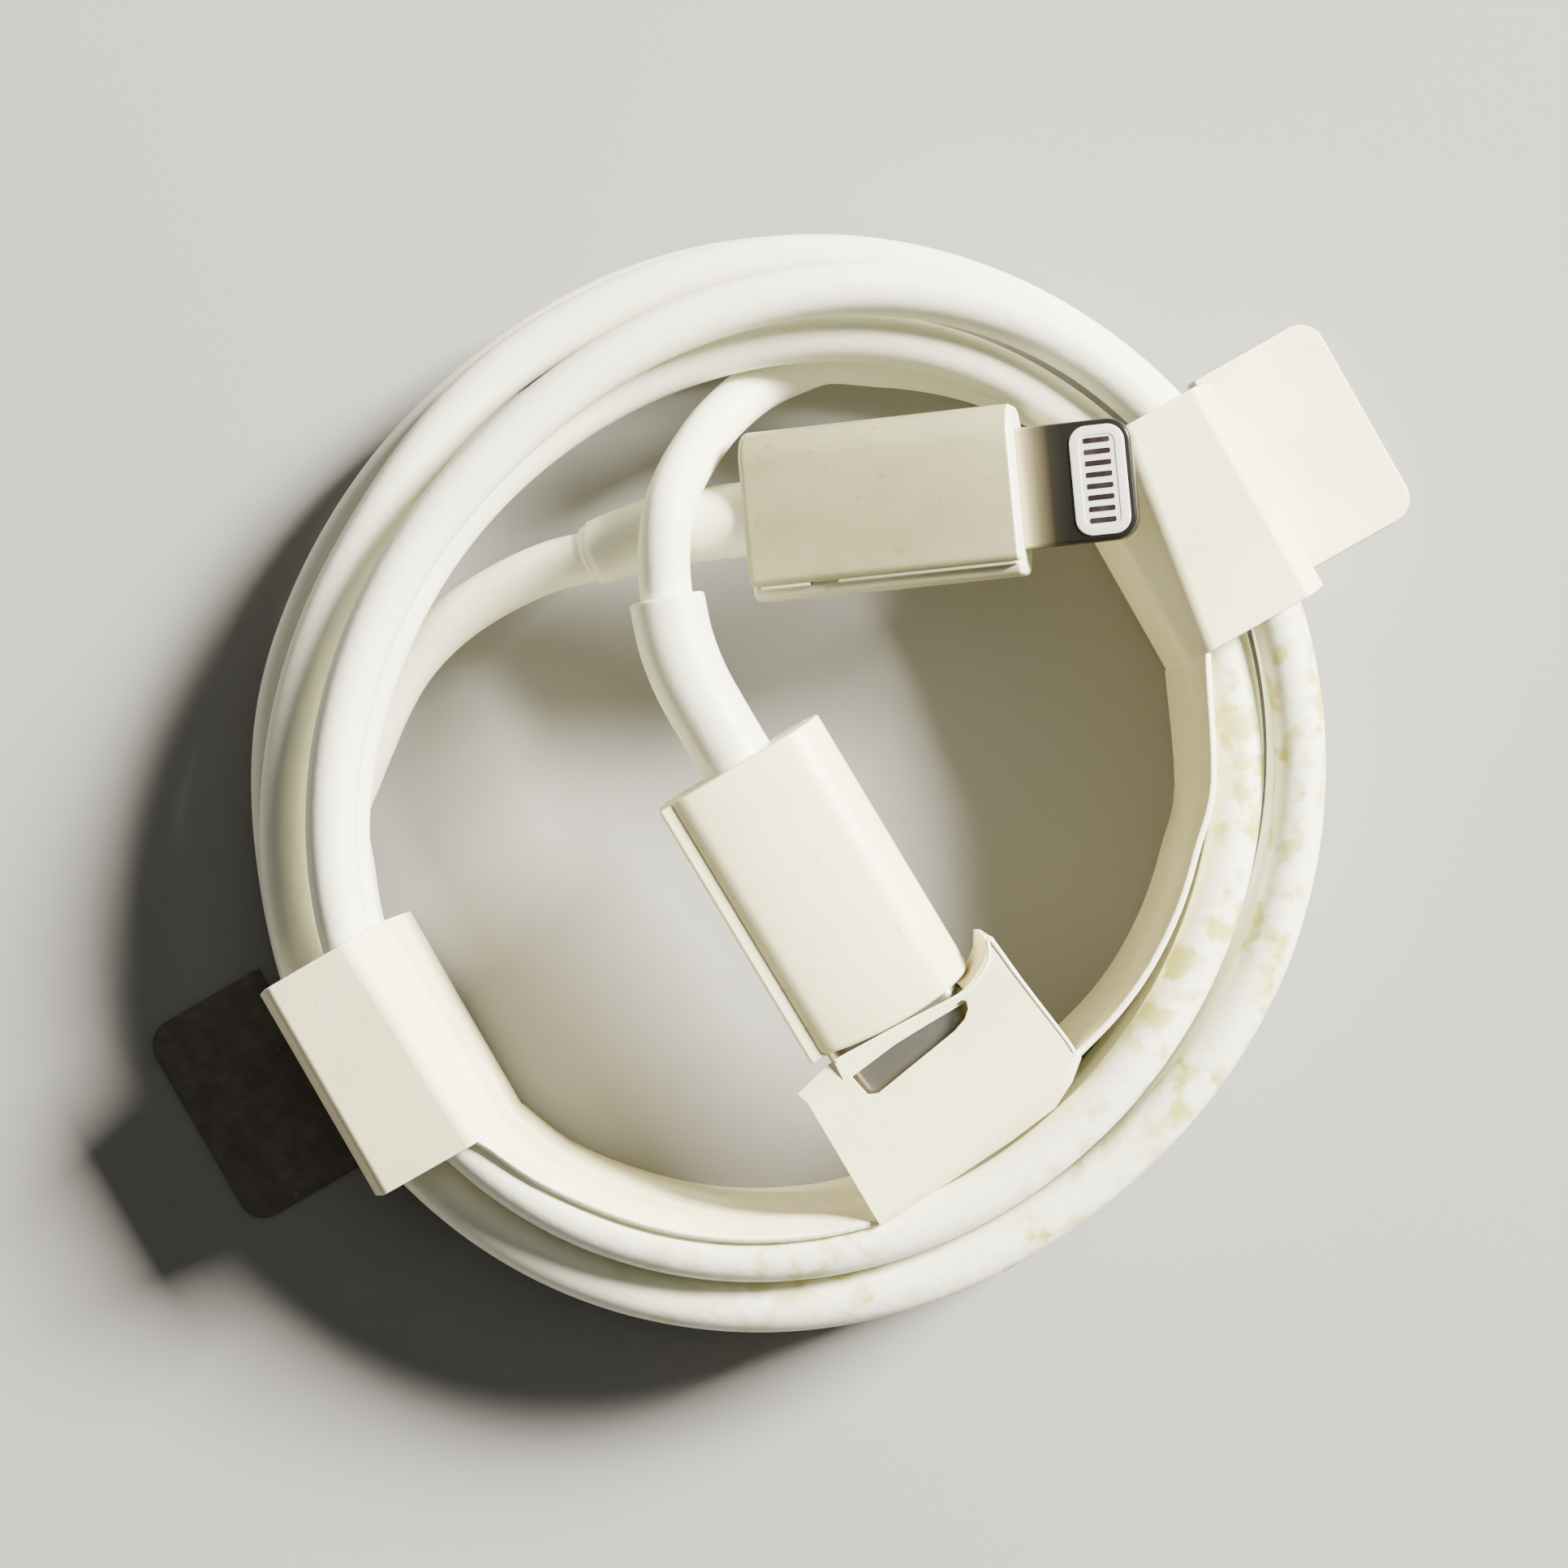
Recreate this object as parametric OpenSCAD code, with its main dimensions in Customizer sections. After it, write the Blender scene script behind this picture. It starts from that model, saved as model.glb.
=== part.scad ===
/* [Cord] */
// Diameter of the cord
cord_d = 2.9; // [2.6:0.1:3.0]

/* [Coil] */
// Diameter over the coil's outer track of turns, before it is pulled oval
coil_d = 60.4; // [60:0.2:64]
// How far the coil is pulled out of round, at the radius
coil_oval = 1; // [0:0.1:1.2]
// Direction of the coil's long way, in degrees from +X
oval_at = 55; // [0:5:175]
// Direction at which the coil starts, in degrees from +X
coil_from = 190; // [190:5:205]
// Direction at which the coil ends, in degrees from +X
coil_to = 78; // [70:2:82]
// Radial step from the inner track of turns to the outer one
turn_step = 3; // [3:0.02:3.3]
// Height from one layer to the next
layer_step = 3.34; // [3.34:0.02:3.6]

/* [Card retainer] */
// Thickness of the card
card_t = 0.4; // [0.3:0.05:0.5]
// Gap between the card and the cord
card_gap = 0.15; // [0.1:0.05:0.3]
// Gap between two butted panels of card
panel_gap = 0.15; // [0.1:0.05:0.3]
// How far a wrap's inner wall stands in at its foot
wrap_foot_inset = 0.2; // [0:0.1:1]
// How far the inner band stands in at its foot
band_foot_inset = 0.5; // [0:0.1:0.8]
// Gap between the inner band and the nearest turn
band_gap = 0.25; // [0.2:0.05:0.5]
// How far the band stands in from the coil at the holder's right end
band_inset = 0.85; // [0.5:0.05:1.2]
// How far the band's rim flares out over the cord, left of the holder
rim_flare = 0.9; // [0:0.1:0.9]

/* [Wraps] */
// Width of each wrap, along the cord
wrap_w = 13.2; // [12:0.1:14]
// Direction that the left wrap faces, in degrees from +X
left_at = 210; // [208:1:212]
// Offset of the left wrap along its own width
left_off = 1.7; // [1:0.1:2.4]
// Direction that the right wrap faces, in degrees from +X
right_at = 29.5; // [28:0.5:31]
// Offset of the right wrap along its own width
right_off = 1.7; // [1:0.1:2.4]
// Fold of the left wrap's roof, in from its inner wall
left_fold = 2.75; // [2.6:0.05:2.9]
// Fold of the right wrap's roof, in from its inner wall, at the end by the plug
right_fold_far = 2.85; // [2.5:0.05:3.2]
// Fold of the right wrap's roof, in from its inner wall, at the other end
right_fold_near = 0.9; // [0.8:0.1:1.6]
// Height of the left wrap's ridge above the band's rim
left_ridge = 0.55; // [0.5:0.05:0.8]
// How far the left roof's outer fold lies below the band's rim
left_drop = 0.6; // [0:0.1:0.8]
// How far the top of the left wrap's inner wall lies below the band's rim
left_slope_h = 0.85; // [0.6:0.05:0.9]
// How far the top of the right wrap's inner wall lies below its roof
right_slope_h = 2; // [1:0.1:2.1]
// Width of the left wrap's outer shoulder, from the outer wall to the roof's fold
left_shoulder_w = 0.9; // [0.6:0.1:1]
// Width of the right wrap's outer shoulder, from the outer wall to the roof's fold
right_shoulder_w = 1.4; // [1:0.1:1.6]
// Height below the roof at which the outer shoulder starts
shoulder_h = 5; // [3:0.5:7]

/* [Tabs] */
// Width of a tab
tab_w = 13; // [10:0.5:14]
// Length of a tab from its fold
tab_l = 7.8; // [5:0.1:10]
// Corner radius of a tab
tab_r = 1.5; // [0.5:0.1:3]
// Offset of the left tab from its wrap, along the wrap's width
left_tab_off = -1.6; // [-2:0.1:2]
// Offset of the right tab from its wrap, along the wrap's width
right_tab_off = 0.9; // [-2:0.1:2]
// Gap between the wrap's outer wall and the tab's fold line
fold_gap = 0.3; // [0.25:0.05:0.5]

/* [Plug holder] */
// Direction that the holder's fold faces, in degrees from +X
holder_at = -50; // [-52:1:-48]
// Distance of the holder's inner edge from the coil's centre
holder_in = 13.6; // [13.4:0.1:14]
// Distance of the holder's fold from the coil's centre
holder_out = 21.95; // [21.6:0.05:22]
// Card on each side of the slot at the holder's fold
holder_side = 3.08; // [2.8:0.02:3.4]
// Offset of the holder along its width
holder_off = -4.4; // [-4.8:0.1:-4]
// Card on each side of the slot at the holder's inner edge
holder_side_in = 2.68; // [2.4:0.02:3]
// Depth of the folded front lip
lip_h = 4.6; // [4.2:0.1:5.5]
// Gap between the boot's front face and the front lip
lip_gap = 0.5; // [0.3:0.1:0.8]
// Clearance around the metal shell in the lip's window
window_gap = 0.2; // [0.1:0.05:0.3]
// Width of the strip of card between the front fold and the slot
strip_w = 0.9; // [0.6:0.1:1.2]
// Distance of the slot's far edge from the coil's centre
slot_far = 16; // [15.9:0.1:17]
// Depth of the folded side lip
side_lip_h = 2.4; // [1:0.1:3]

/* [Charger plug] */
// Plastic of the charger plug's boot on each side of the metal shell
c_boot_side = 0.98; // [0.9:0.01:1.3]
// Plastic of the charger plug's boot above and below the metal shell
c_boot_over = 1.62; // [1.55:0.01:1.8]
// Length of the charger plug's boot
c_boot_l = 16.3; // [16:0.1:18]
// Corner radius of the charger plug's boot
c_boot_r = 2.6; // [1.5:0.1:2.8]
// Width of the metal shell
shell_w = 8.34; // [8:0.01:8.5]
// Height of the metal shell
shell_h = 2.56; // [2.5:0.01:2.7]
// Length of the metal shell outside the boot
shell_out = 6.65; // [6:0.05:7]
// Length of the metal shell inside the boot
shell_in = 3.2; // [2.5:0.1:3.6]
// Sheet thickness of the metal shell
shell_t = 0.3; // [0.2:0.02:0.3]
// Diameter of the charger plug's strain relief
c_relief_d = 4.2; // [3.8:0.1:4.6]

/* [Phone plug] */
// Plastic of the phone plug's boot on each side of the steel tip
p_boot_side = 1.4; // [1.2:0.1:1.8]
// Plastic of the phone plug's boot above and below the steel tip
p_boot_over = 1.85; // [1.8:0.05:2.1]
// Length of the phone plug's boot
p_boot_l = 15.3; // [15:0.1:17]
// Corner radius of the phone plug's boot
p_boot_r = 2; // [1.2:0.1:2.4]
// Width of the steel tip
tip_w = 6.7; // [6.5:0.05:6.8]
// Thickness of the steel tip
tip_t = 1.5; // [1.4:0.05:1.6]
// Length of the steel tip outside the boot
tip_out = 6.4; // [6.2:0.1:7]
// Length of the steel tip inside the boot
tip_in = 4; // [3:0.1:5]
// Corner radius of the steel tip's end
tip_r = 1.3; // [0.8:0.1:1.6]
// Width of the white insert that holds the contacts
insert_w = 5.6; // [5.4:0.1:5.8]
// Length of the white insert's face
insert_l = 2.8; // [2.4:0.1:3]
// Distance from the tip's end to the insert
insert_edge = 0.6; // [0.5:0.05:0.8]
// Diameter of the phone plug's strain relief at the boot
p_relief_d = 4.2; // [3.8:0.1:4.6]
// Diameter of the phone plug's strain relief at its cord end
p_relief_end_d = 3.6; // [3.5:0.1:3.8]

/* [Inside the plugs] */
// Wall of the boots
boot_wall = 0.7; // [0.6:0.05:0.8]
// Clearance between pieces inside a boot
fit_gap = 0.1; // [0.05:0.01:0.15]
// Length of cord inside each boot
cord_in_boot = 3.4; // [3:0.1:4]
// Length of a crimp ferrule
ferrule_l = 2.2; // [1.5:0.1:2.6]
// Wall of a crimp ferrule
ferrule_t = 0.3; // [0.2:0.02:0.32]
// Thickness of a circuit board
board_t = 0.6; // [0.4:0.1:0.8]
// Sheet thickness of a shield can
can_t = 0.15; // [0.1:0.05:0.2]
// Height of a shield can
can_h = 2.8; // [2.6:0.1:3]
// Diameter of a core wire
wire_d = 0.5; // [0.3:0.05:0.5]

/* [Hidden] */

// Where the coil's centre lies in the part's frame
coil_centre = [0.3, -1.1, 0];

white = "#f4f2ea";
card_white = "#f3f0e2";
card_dark = "#2a2824";
steel = "#9b9890";
gold = "#c9a24a";
board_green = "#1f5a3a";
chip_black = "#26262a";
copper = "#b8733a";

eps = 0.01;
cord_r = cord_d / 2;
c_boot_w = shell_w + 2 * c_boot_side;
c_boot_t = shell_h + 2 * c_boot_over;
p_boot_w = tip_w + 2 * p_boot_side;
p_boot_t = tip_t + 2 * p_boot_over;

// ---------------------------------------------------------------- the cord's path

// The coil winds through not quite six loops, on an inner and an outer track that are
// piled in four layers. Each stop is the angle wound so far, in degrees, the place
// between the inner track (0) and the outer one (1), and the layer, counted from 0.
bottom_stops = [[190, 0.05, 0], [250, 0, 0], [330, 0, 0], [400, 0.15, 0], [440, 0.05, 0],
    [545, 1.2, 0], [600, 1.17, 0], [760, 1.33, 0]];
second_stops = [[830, 1.48, 1], [885, 1.45, 1], [915, 1.18, 1], [1040, 1.1, 1]];
third_stops = [[1125, 1.15, 2], [1170, 1.28, 2], [1200, 1.22, 2], [1232, 0.97, 2],
    [1285, 1, 2.02], [1380, 0.98, 2.58], [1422, 1.12, 2.76]];
top_stops = [[1465, 0.98, 3], [1490, 0.87, 3], [1578, 0, 3], [1755, -0.05, 3]];
// The last loop dives under the top one, and the stop past its end slants it inward
last_stops = [[1825, -0.08, 2.55], [1860, -0.16, 2.45], [1915, -0.26, 1.98],
    [1955, -0.2, 1.88], [1995, -0.05, 1.5], [2060, -0.02, 1.5], [2170, -0.04, 1.38],
    [2205, -0.08, 1.36], [2260, -0.7, 1.24]];
coil_stops = concat(bottom_stops, second_stops, third_stops, top_stops, last_stops);
loops = 6;
coil_end = coil_to + 360 * loops;
out_r = coil_d / 2 - cord_r;
in_r = out_r - turn_step;
low_z = card_t + card_gap + cord_r;
rings_per_loop = 24;

function stop_before(p) =
    max([for (i = [0 : len(coil_stops) - 2]) if (i == 0 || coil_stops[i][0] <= p) i]);
function eased(s) = s * s * (3 - 2 * s);
// Track and layer once the coil has wound through the angle p
function lie(p) =
    let (i = stop_before(p), a = coil_stops[i], b = coil_stops[i + 1])
    a + eased(max(0, min(1, (p - a[0]) / (b[0] - a[0])))) * (b - a);
function coil_r(p) = in_r + turn_step * lie(p)[1] + coil_oval * cos(2 * (p - oval_at));
function coil_z(p) = low_z + layer_step * lie(p)[2];
function coil_point(p) = [coil_r(p) * cos(p), coil_r(p) * sin(p), coil_z(p)];

ring_angle = 360 / rings_per_loop;
ring_count = ceil((coil_end - coil_from) / ring_angle);
ring_angles = [for (i = [0 : ring_count]) min(coil_end, coil_from + i * ring_angle)];
coil_points = [for (p = ring_angles) coil_point(p)];
coil_top_z = max([for (p = coil_points) p.z]) + cord_r;

function unit(v) = v / norm(v);
// Straight run of one cord diameter at each end of the coil
run_in = coil_points[0] - cord_d * unit(coil_point(coil_from + 1) - coil_point(coil_from));
run_out = coil_points[ring_count]
    + cord_d * unit(coil_point(coil_end) - coil_point(coil_end - 1));

// Place and attitude of the two plugs: the middle of the boot's front face,
// its direction in the plane and how far it points up, in degrees
phone_at = [12.9, 16.6, 13.9];
phone_turn = 5.4;
phone_rise = 12;
charger_at = [5.6, -12.4, 12];
charger_turn = -59;
charger_rise = -4;

function axis_of(turn, rise) = [cos(turn) * cos(rise), sin(turn) * cos(rise), sin(rise)];
phone_axis = axis_of(phone_turn, phone_rise);
charger_axis = axis_of(charger_turn, charger_rise);

// Routes of the cord through each strain relief and over its free stretch
phone_relief_route = [[-6.6, 14.6, 9.75], [-9, 14, 9.15], [-11.2, 13.2, 8.5]];
phone_lead_route = [[-13.2, 12.75, 7.75], [-15.2, 12, 7], [-17.2, 11, 6.2],
    [-19, 9.85, 5.5], [-20.6, 8.5, 4.8], [-22, 6.9, 4.15], [-23.2, 4.9, 3.5],
    [-24.2, 2.7, 2.9], [-25.1, 0.6, 2.4]];
charger_lead_route = [[0.3, 24, 6.35], [-1.4, 23.15, 6.75], [-2.9, 21.95, 7.7],
    [-4.2, 20.5, 9], [-5.2, 18.9, 10.65], [-6, 17.3, 12.35], [-6.5, 15.85, 13.35],
    [-6.75, 14.4, 13.7], [-6.85, 12.6, 13.65]];
charger_relief_route = [[-6.7, 10.6, 13.5], [-6.2, 8.2, 13.5], [-5.3, 5.9, 13.45]];

straight_run = 2.2;
phone_rear = phone_at - p_boot_l * phone_axis;
charger_rear = charger_at - c_boot_l * charger_axis;
// The cord runs straight in and out of each boot
phone_start = [phone_rear + cord_in_boot * phone_axis, phone_rear,
    phone_rear - straight_run * phone_axis];
charger_finish = [charger_rear - straight_run * charger_axis, charger_rear,
    charger_rear + cord_in_boot * charger_axis];

// The whole cord, from the phone plug to the charger plug
cord_path = concat(phone_start, phone_relief_route, phone_lead_route, [run_in],
    coil_points, [run_out], charger_lead_route, charger_relief_route, charger_finish);

phone_relief_first = 1;
phone_relief_last = phone_relief_first + 1 + len(phone_relief_route);
coil_first = phone_relief_last + len(phone_lead_route) + 1;
coil_last = coil_first + len(coil_points) + 1;
charger_relief_first = coil_last + len(charger_lead_route) + 1;
charger_relief_last = charger_relief_first + 1 + len(charger_relief_route);
cord_last = len(cord_path) - 1;

function along(i) = unit(cord_path[min(i + 1, cord_last)] - cord_path[max(i - 1, 0)]);
function ring(i, r, sides) =
    let (t = along(i), s = unit(cross([0, 0, 1], t)), w = cross(t, s))
    [for (j = [0 : sides - 1])
        let (a = 360 * (j + 0.5) / sides)
        cord_path[i] + r * (cos(a) * s + sin(a) * w)];

function length_of(first, last) =
    let (steps = [for (i = [first : last - 1]) norm(cord_path[i + 1] - cord_path[i])])
    steps * [for (s = steps) 1];

coil_gaps = [for (i = [0 : ring_count - 12])
    min([for (j = [i + 12 : ring_count]) norm(coil_points[j] - coil_points[i])])];
echo(least_coil_gap = min(coil_gaps) - cord_d);
echo(coil_length = length_of(coil_first, coil_last), cord_length = length_of(0, cord_last));

function walls_of(n, sides) = [for (i = [0 : n - 1], j = [0 : sides - 1])
    let (a = i * sides + j, b = i * sides + (j + 1) % sides)
    each [[a, a + sides, b], [b, a + sides, b + sides]]];

// A solid through a row of rings, each wound counterclockwise about the way to the next
module skin(rings) {
    n = len(rings) - 1;
    sides = len(rings[0]);
    near = [for (j = [1 : sides - 2]) [0, j, j + 1]];
    far = [for (j = [1 : sides - 2]) [n * sides, n * sides + j + 1, n * sides + j]];
    polyhedron(points = [for (r = rings) each r], faces = concat(walls_of(n, sides), near, far));
}

// A tube along part of the cord's path
module tube(first, last, r, sides) {
    skin([for (i = [first : last]) ring(i, r, sides)]);
}

// A sleeve round part of the cord's path, its radius running evenly from r1 to r2
module sleeve(first, last, r1, r2, bore, sides) {
    n = last - first;
    outer = [for (i = [0 : n]) each ring(first + i, r1 + (r2 - r1) * i / n, sides)];
    inner = [for (i = [0 : n]) each ring(first + i, bore, sides)];
    m = len(outer);
    rim = [for (j = [0 : sides - 1])
        let (k = (j + 1) % sides, a = n * sides + j, b = n * sides + k)
        each [[j, k, m + j], [k, m + k, m + j], [a, m + a, b], [b, m + a, m + b]]];
    bore_walls = [for (f = walls_of(n, sides)) [m + f[0], m + f[2], m + f[1]]];
    polyhedron(points = concat(outer, inner), faces = concat(walls_of(n, sides), bore_walls, rim));
}

coil_sides = 6;
lead_sides = 8;
relief_sides = 16;
relief_bore_r = cord_r + 0.05;

// ---------------------------------------------------------------- shared shapes

module rounded_rect(w, h, r) {
    square([w - 2 * r, h], center = true);
    square([w, h - 2 * r], center = true);
    for (x = [-1, 1], y = [-1, 1])
        translate([x * (w / 2 - r), y * (h / 2 - r)]) circle(r, $fn = 48);
}

// A bar along the plug's axis, from x1 to x2, with a rounded section w by h
module bar(x1, x2, w, h, r) {
    translate([x1, 0, 0]) rotate([90, 0, 90]) linear_extrude(x2 - x1) rounded_rect(w, h, r);
}

// A plain block along the plug's axis
module block(x1, x2, w, h) {
    translate([x1, -w / 2, -h / 2]) cube([x2 - x1, w, h]);
}

module rod(x1, x2, r) {
    translate([x1, 0, 0]) rotate([0, 90, 0]) cylinder(h = x2 - x1, r = r, $fn = 48);
}

module in_phone_plug() {
    translate(phone_at) rotate([0, -phone_rise, phone_turn]) children();
}

module in_charger_plug() {
    translate(charger_at) rotate([0, -charger_rise, charger_turn]) children();
}

// ---------------------------------------------------------------- cord nodes

module cord_coil() {
    color(white) translate(coil_centre) tube(coil_first, coil_last, cord_r, coil_sides);
}

module charger_lead() {
    color(white) translate(coil_centre) tube(coil_last, cord_last, cord_r, lead_sides);
}

module phone_lead() {
    color(white) translate(coil_centre) tube(0, coil_first, cord_r, lead_sides);
}

// ---------------------------------------------------------------- charger plug

c_cavity_w = c_boot_w - 2 * boot_wall;
c_cavity_h = c_boot_t - 2 * boot_wall;
c_cavity_r = c_boot_r - boot_wall;
c_cord_end = -c_boot_l + cord_in_boot;

module charger_boot() {
    color(white) translate(coil_centre) in_charger_plug() difference() {
        bar(-c_boot_l, 0, c_boot_w, c_boot_t, c_boot_r);
        bar(-c_boot_l + boot_wall, -boot_wall, c_cavity_w, c_cavity_h, c_cavity_r);
        bar(-boot_wall - eps, eps, shell_w + fit_gap, shell_h + fit_gap, (shell_h + fit_gap) / 2 - eps);
        rod(-c_boot_l - eps, -c_boot_l + boot_wall + eps, cord_r + fit_gap);
    }
}

module charger_strain_relief() {
    color(white) translate(coil_centre)
        sleeve(charger_relief_first, charger_relief_last, c_relief_d / 2, c_relief_d / 2,
            relief_bore_r, relief_sides);
}

mould_in = boot_wall + fit_gap;

module charger_inner_mould() {
    color(white) translate(coil_centre) in_charger_plug() difference() {
        bar(-shell_in, -mould_in, c_cavity_w - 2 * fit_gap, c_cavity_h - 2 * fit_gap,
            c_cavity_r - fit_gap);
        bar(-shell_in - eps, -mould_in + eps, shell_w + fit_gap / 2, shell_h + fit_gap / 2,
            shell_h / 2 - eps);
    }
}

shell_bore_w = shell_w - 2 * shell_t;
shell_bore_h = shell_h - 2 * shell_t;

module charger_shell() {
    color(steel) translate(coil_centre) in_charger_plug() difference() {
        bar(-shell_in, shell_out, shell_w, shell_h, shell_h / 2 - eps);
        bar(-shell_in - eps, shell_out + eps, shell_bore_w, shell_bore_h,
            shell_bore_h / 2 - eps);
    }
}

housing_w = shell_bore_w - fit_gap;
housing_h = shell_bore_h - fit_gap;
housing_back = -shell_in;
housing_front = shell_out - 0.4;
mouth_w = 6.3;
mouth_h = 0.9;
mouth_back = 0.6;
contact_count = 12;
contact_pitch = 0.5;
contact_w = 0.25;
contact_t = 0.14;
latch_t = 0.2;
latch_l = 4.6;
spring_w = 4.4;
spring_l = 1.6;
spring_t = 0.1;
contact_row_w = (contact_count - 1) * contact_pitch;

module contact_row(side, grow) {
    for (i = [0 : contact_count - 1])
        translate([0, i * contact_pitch - contact_row_w / 2, side * (mouth_h / 2 + contact_t / 2)])
            block(housing_back - (grow > 0 ? eps : 0), housing_front - 0.8 + grow,
                contact_w + 2 * grow, contact_t + 2 * grow);
}

module latch_pair(grow) {
    for (y = [-1, 1])
        translate([0, y * (mouth_w / 2 + latch_t / 2), 0])
            block(mouth_back, mouth_back + latch_l + grow, latch_t + 2 * grow, mouth_h - 2 * fit_gap);
}

module ground_spring_pair(grow) {
    for (z = [-1, 1])
        translate([0, 0, z * (housing_h / 2 - spring_t / 2)])
            block(housing_front - 1 - spring_l - grow, housing_front - 1 + grow,
                spring_w + 2 * grow, spring_t + 2 * grow);
}

module charger_contact_housing() {
    color("#3a3a3c") translate(coil_centre) in_charger_plug() difference() {
        bar(housing_back, housing_front, housing_w, housing_h, housing_h / 2 - eps);
        block(mouth_back, housing_front + eps, mouth_w, mouth_h);
        contact_row(1, 0.02);
        contact_row(-1, 0.02);
        latch_pair(0.05);
        ground_spring_pair(0.02);
    }
}

module charger_contacts_top() {
    color(gold) translate(coil_centre) in_charger_plug() contact_row(1, 0);
}

module charger_contacts_bottom() {
    color(gold) translate(coil_centre) in_charger_plug() contact_row(-1, 0);
}

module charger_latch_springs() {
    color(steel) translate(coil_centre) in_charger_plug() latch_pair(0);
}

module charger_ground_springs() {
    color(steel) translate(coil_centre) in_charger_plug() ground_spring_pair(0);
}

c_board_w = 7;
c_board_front = -shell_in - 0.1;
c_board_back = c_cord_end + 0.9;
c_can_w = c_board_w + 2 * (can_t + 0.1);

module charger_circuit_board() {
    color(board_green) translate(coil_centre) in_charger_plug()
        block(c_board_back, c_board_front, c_board_w, board_t);
}

c_chip = [2.6, 3, 0.5];

module charger_chip() {
    color(chip_black) translate(coil_centre) in_charger_plug()
        translate([0, 0, (board_t + c_chip.z) / 2])
            block(c_board_front - 4.2, c_board_front - 4.2 + c_chip.x, c_chip.y, c_chip.z);
}

module shield_can(x1, x2, w) {
    difference() {
        block(x1, x2, w, can_h);
        block(x1 - eps, x2 + eps, w - 2 * can_t, can_h - 2 * can_t);
    }
}

module charger_shield_can() {
    color(steel) translate(coil_centre) in_charger_plug()
        shield_can(c_board_back, c_board_front, c_can_w);
}

module ferrule(back) {
    difference() {
        rod(back, back + ferrule_l, cord_r + 0.02 + ferrule_t);
        rod(back - eps, back + ferrule_l + eps, cord_r + 0.02);
    }
}

module charger_crimp_ferrule() {
    color(copper) translate(coil_centre) in_charger_plug() ferrule(c_cord_end - ferrule_l - 0.2);
}

// Four core wires, soldered to both faces of the board
module core_wires(cord_end, board_back) {
    wire_z = board_t / 2 + wire_d / 2 + 0.02;
    for (y = [-1, 1], z = [-1, 1])
        translate([0, y * 0.6, z * wire_z]) rod(cord_end, board_back + 1.2, wire_d / 2);
}

module charger_core_wires() {
    color(copper) translate(coil_centre) in_charger_plug()
        core_wires(c_cord_end, c_board_back);
}

// ---------------------------------------------------------------- phone plug

p_cavity_w = p_boot_w - 2 * boot_wall;
p_cavity_h = p_boot_t - 2 * boot_wall;
p_cavity_r = p_boot_r - boot_wall;
p_cord_end = -p_boot_l + cord_in_boot;

module phone_boot() {
    color(white) translate(coil_centre) in_phone_plug() difference() {
        bar(-p_boot_l, 0, p_boot_w, p_boot_t, p_boot_r);
        bar(-p_boot_l + boot_wall, -boot_wall, p_cavity_w, p_cavity_h, p_cavity_r);
        block(-boot_wall - eps, eps, tip_w + fit_gap, tip_t + fit_gap);
        rod(-p_boot_l - eps, -p_boot_l + boot_wall + eps, cord_r + fit_gap);
    }
}

module phone_strain_relief() {
    color(white) translate(coil_centre)
        sleeve(phone_relief_first, phone_relief_last, p_relief_d / 2, p_relief_end_d / 2,
            relief_bore_r, relief_sides);
}

module phone_inner_mould() {
    color(white) translate(coil_centre) in_phone_plug() difference() {
        bar(-tip_in, -mould_in, p_cavity_w - 2 * fit_gap, p_cavity_h - 2 * fit_gap,
            p_cavity_r - fit_gap);
        block(-tip_in - eps, -mould_in + eps, tip_w + fit_gap, tip_t + fit_gap);
    }
}

insert_r = 0.75;
insert_front = tip_out - insert_edge;
insert_mid = insert_front - insert_l / 2;
tail_w = 4.6;
tail_t = 0.7;
insert_gap = 0.02;

module tip_outline() {
    translate([-tip_in, -tip_w / 2]) square([tip_in + tip_out - tip_r, tip_w]);
    translate([0, -tip_w / 2 + tip_r]) square([tip_out, tip_w - 2 * tip_r]);
    for (y = [-1, 1])
        translate([tip_out - tip_r, y * (tip_w / 2 - tip_r)]) circle(tip_r, $fn = 48);
}

module insert_body(grow) {
    translate([insert_mid, 0, 0]) linear_extrude(tip_t + (grow > 0 ? 1 : 0), center = true)
        rounded_rect(insert_l + 2 * grow, insert_w + 2 * grow, insert_r);
    block(-tip_in - (grow > 0 ? eps : 0), insert_mid, tail_w + 2 * grow, tail_t + 2 * grow);
}

module phone_steel_tip() {
    color(steel) translate(coil_centre) in_phone_plug() difference() {
        linear_extrude(tip_t, center = true) tip_outline();
        insert_body(insert_gap);
    }
}

pad_count = 8;
pad_pitch = 0.63;
pad_w = 0.27;
pad_l = 1.4;
pad_t = 0.25;

module pad_row(side, grow) {
    for (i = [0 : pad_count - 1])
        translate([insert_mid, (i - (pad_count - 1) / 2) * pad_pitch,
            side * (tip_t / 2 - pad_t / 2 + grow)])
            block(-pad_l / 2 - grow, pad_l / 2 + grow, pad_w + 2 * grow, pad_t + 2 * grow);
}

module phone_contact_insert() {
    color(white) translate(coil_centre) in_phone_plug() difference() {
        insert_body(0);
        pad_row(1, 0.01);
        pad_row(-1, 0.01);
    }
}

module phone_contacts_top() {
    color(gold) translate(coil_centre) in_phone_plug() pad_row(1, 0);
}

module phone_contacts_bottom() {
    color(gold) translate(coil_centre) in_phone_plug() pad_row(-1, 0);
}

p_board_w = 6;
p_board_front = -tip_in - 0.1;
p_board_back = p_cord_end + 0.9;
p_can_w = p_board_w + 2 * (can_t + 0.1);

module phone_circuit_board() {
    color(board_green) translate(coil_centre) in_phone_plug()
        block(p_board_back, p_board_front, p_board_w, board_t);
}

p_chip = [1.8, 2.2, 0.5];

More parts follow.
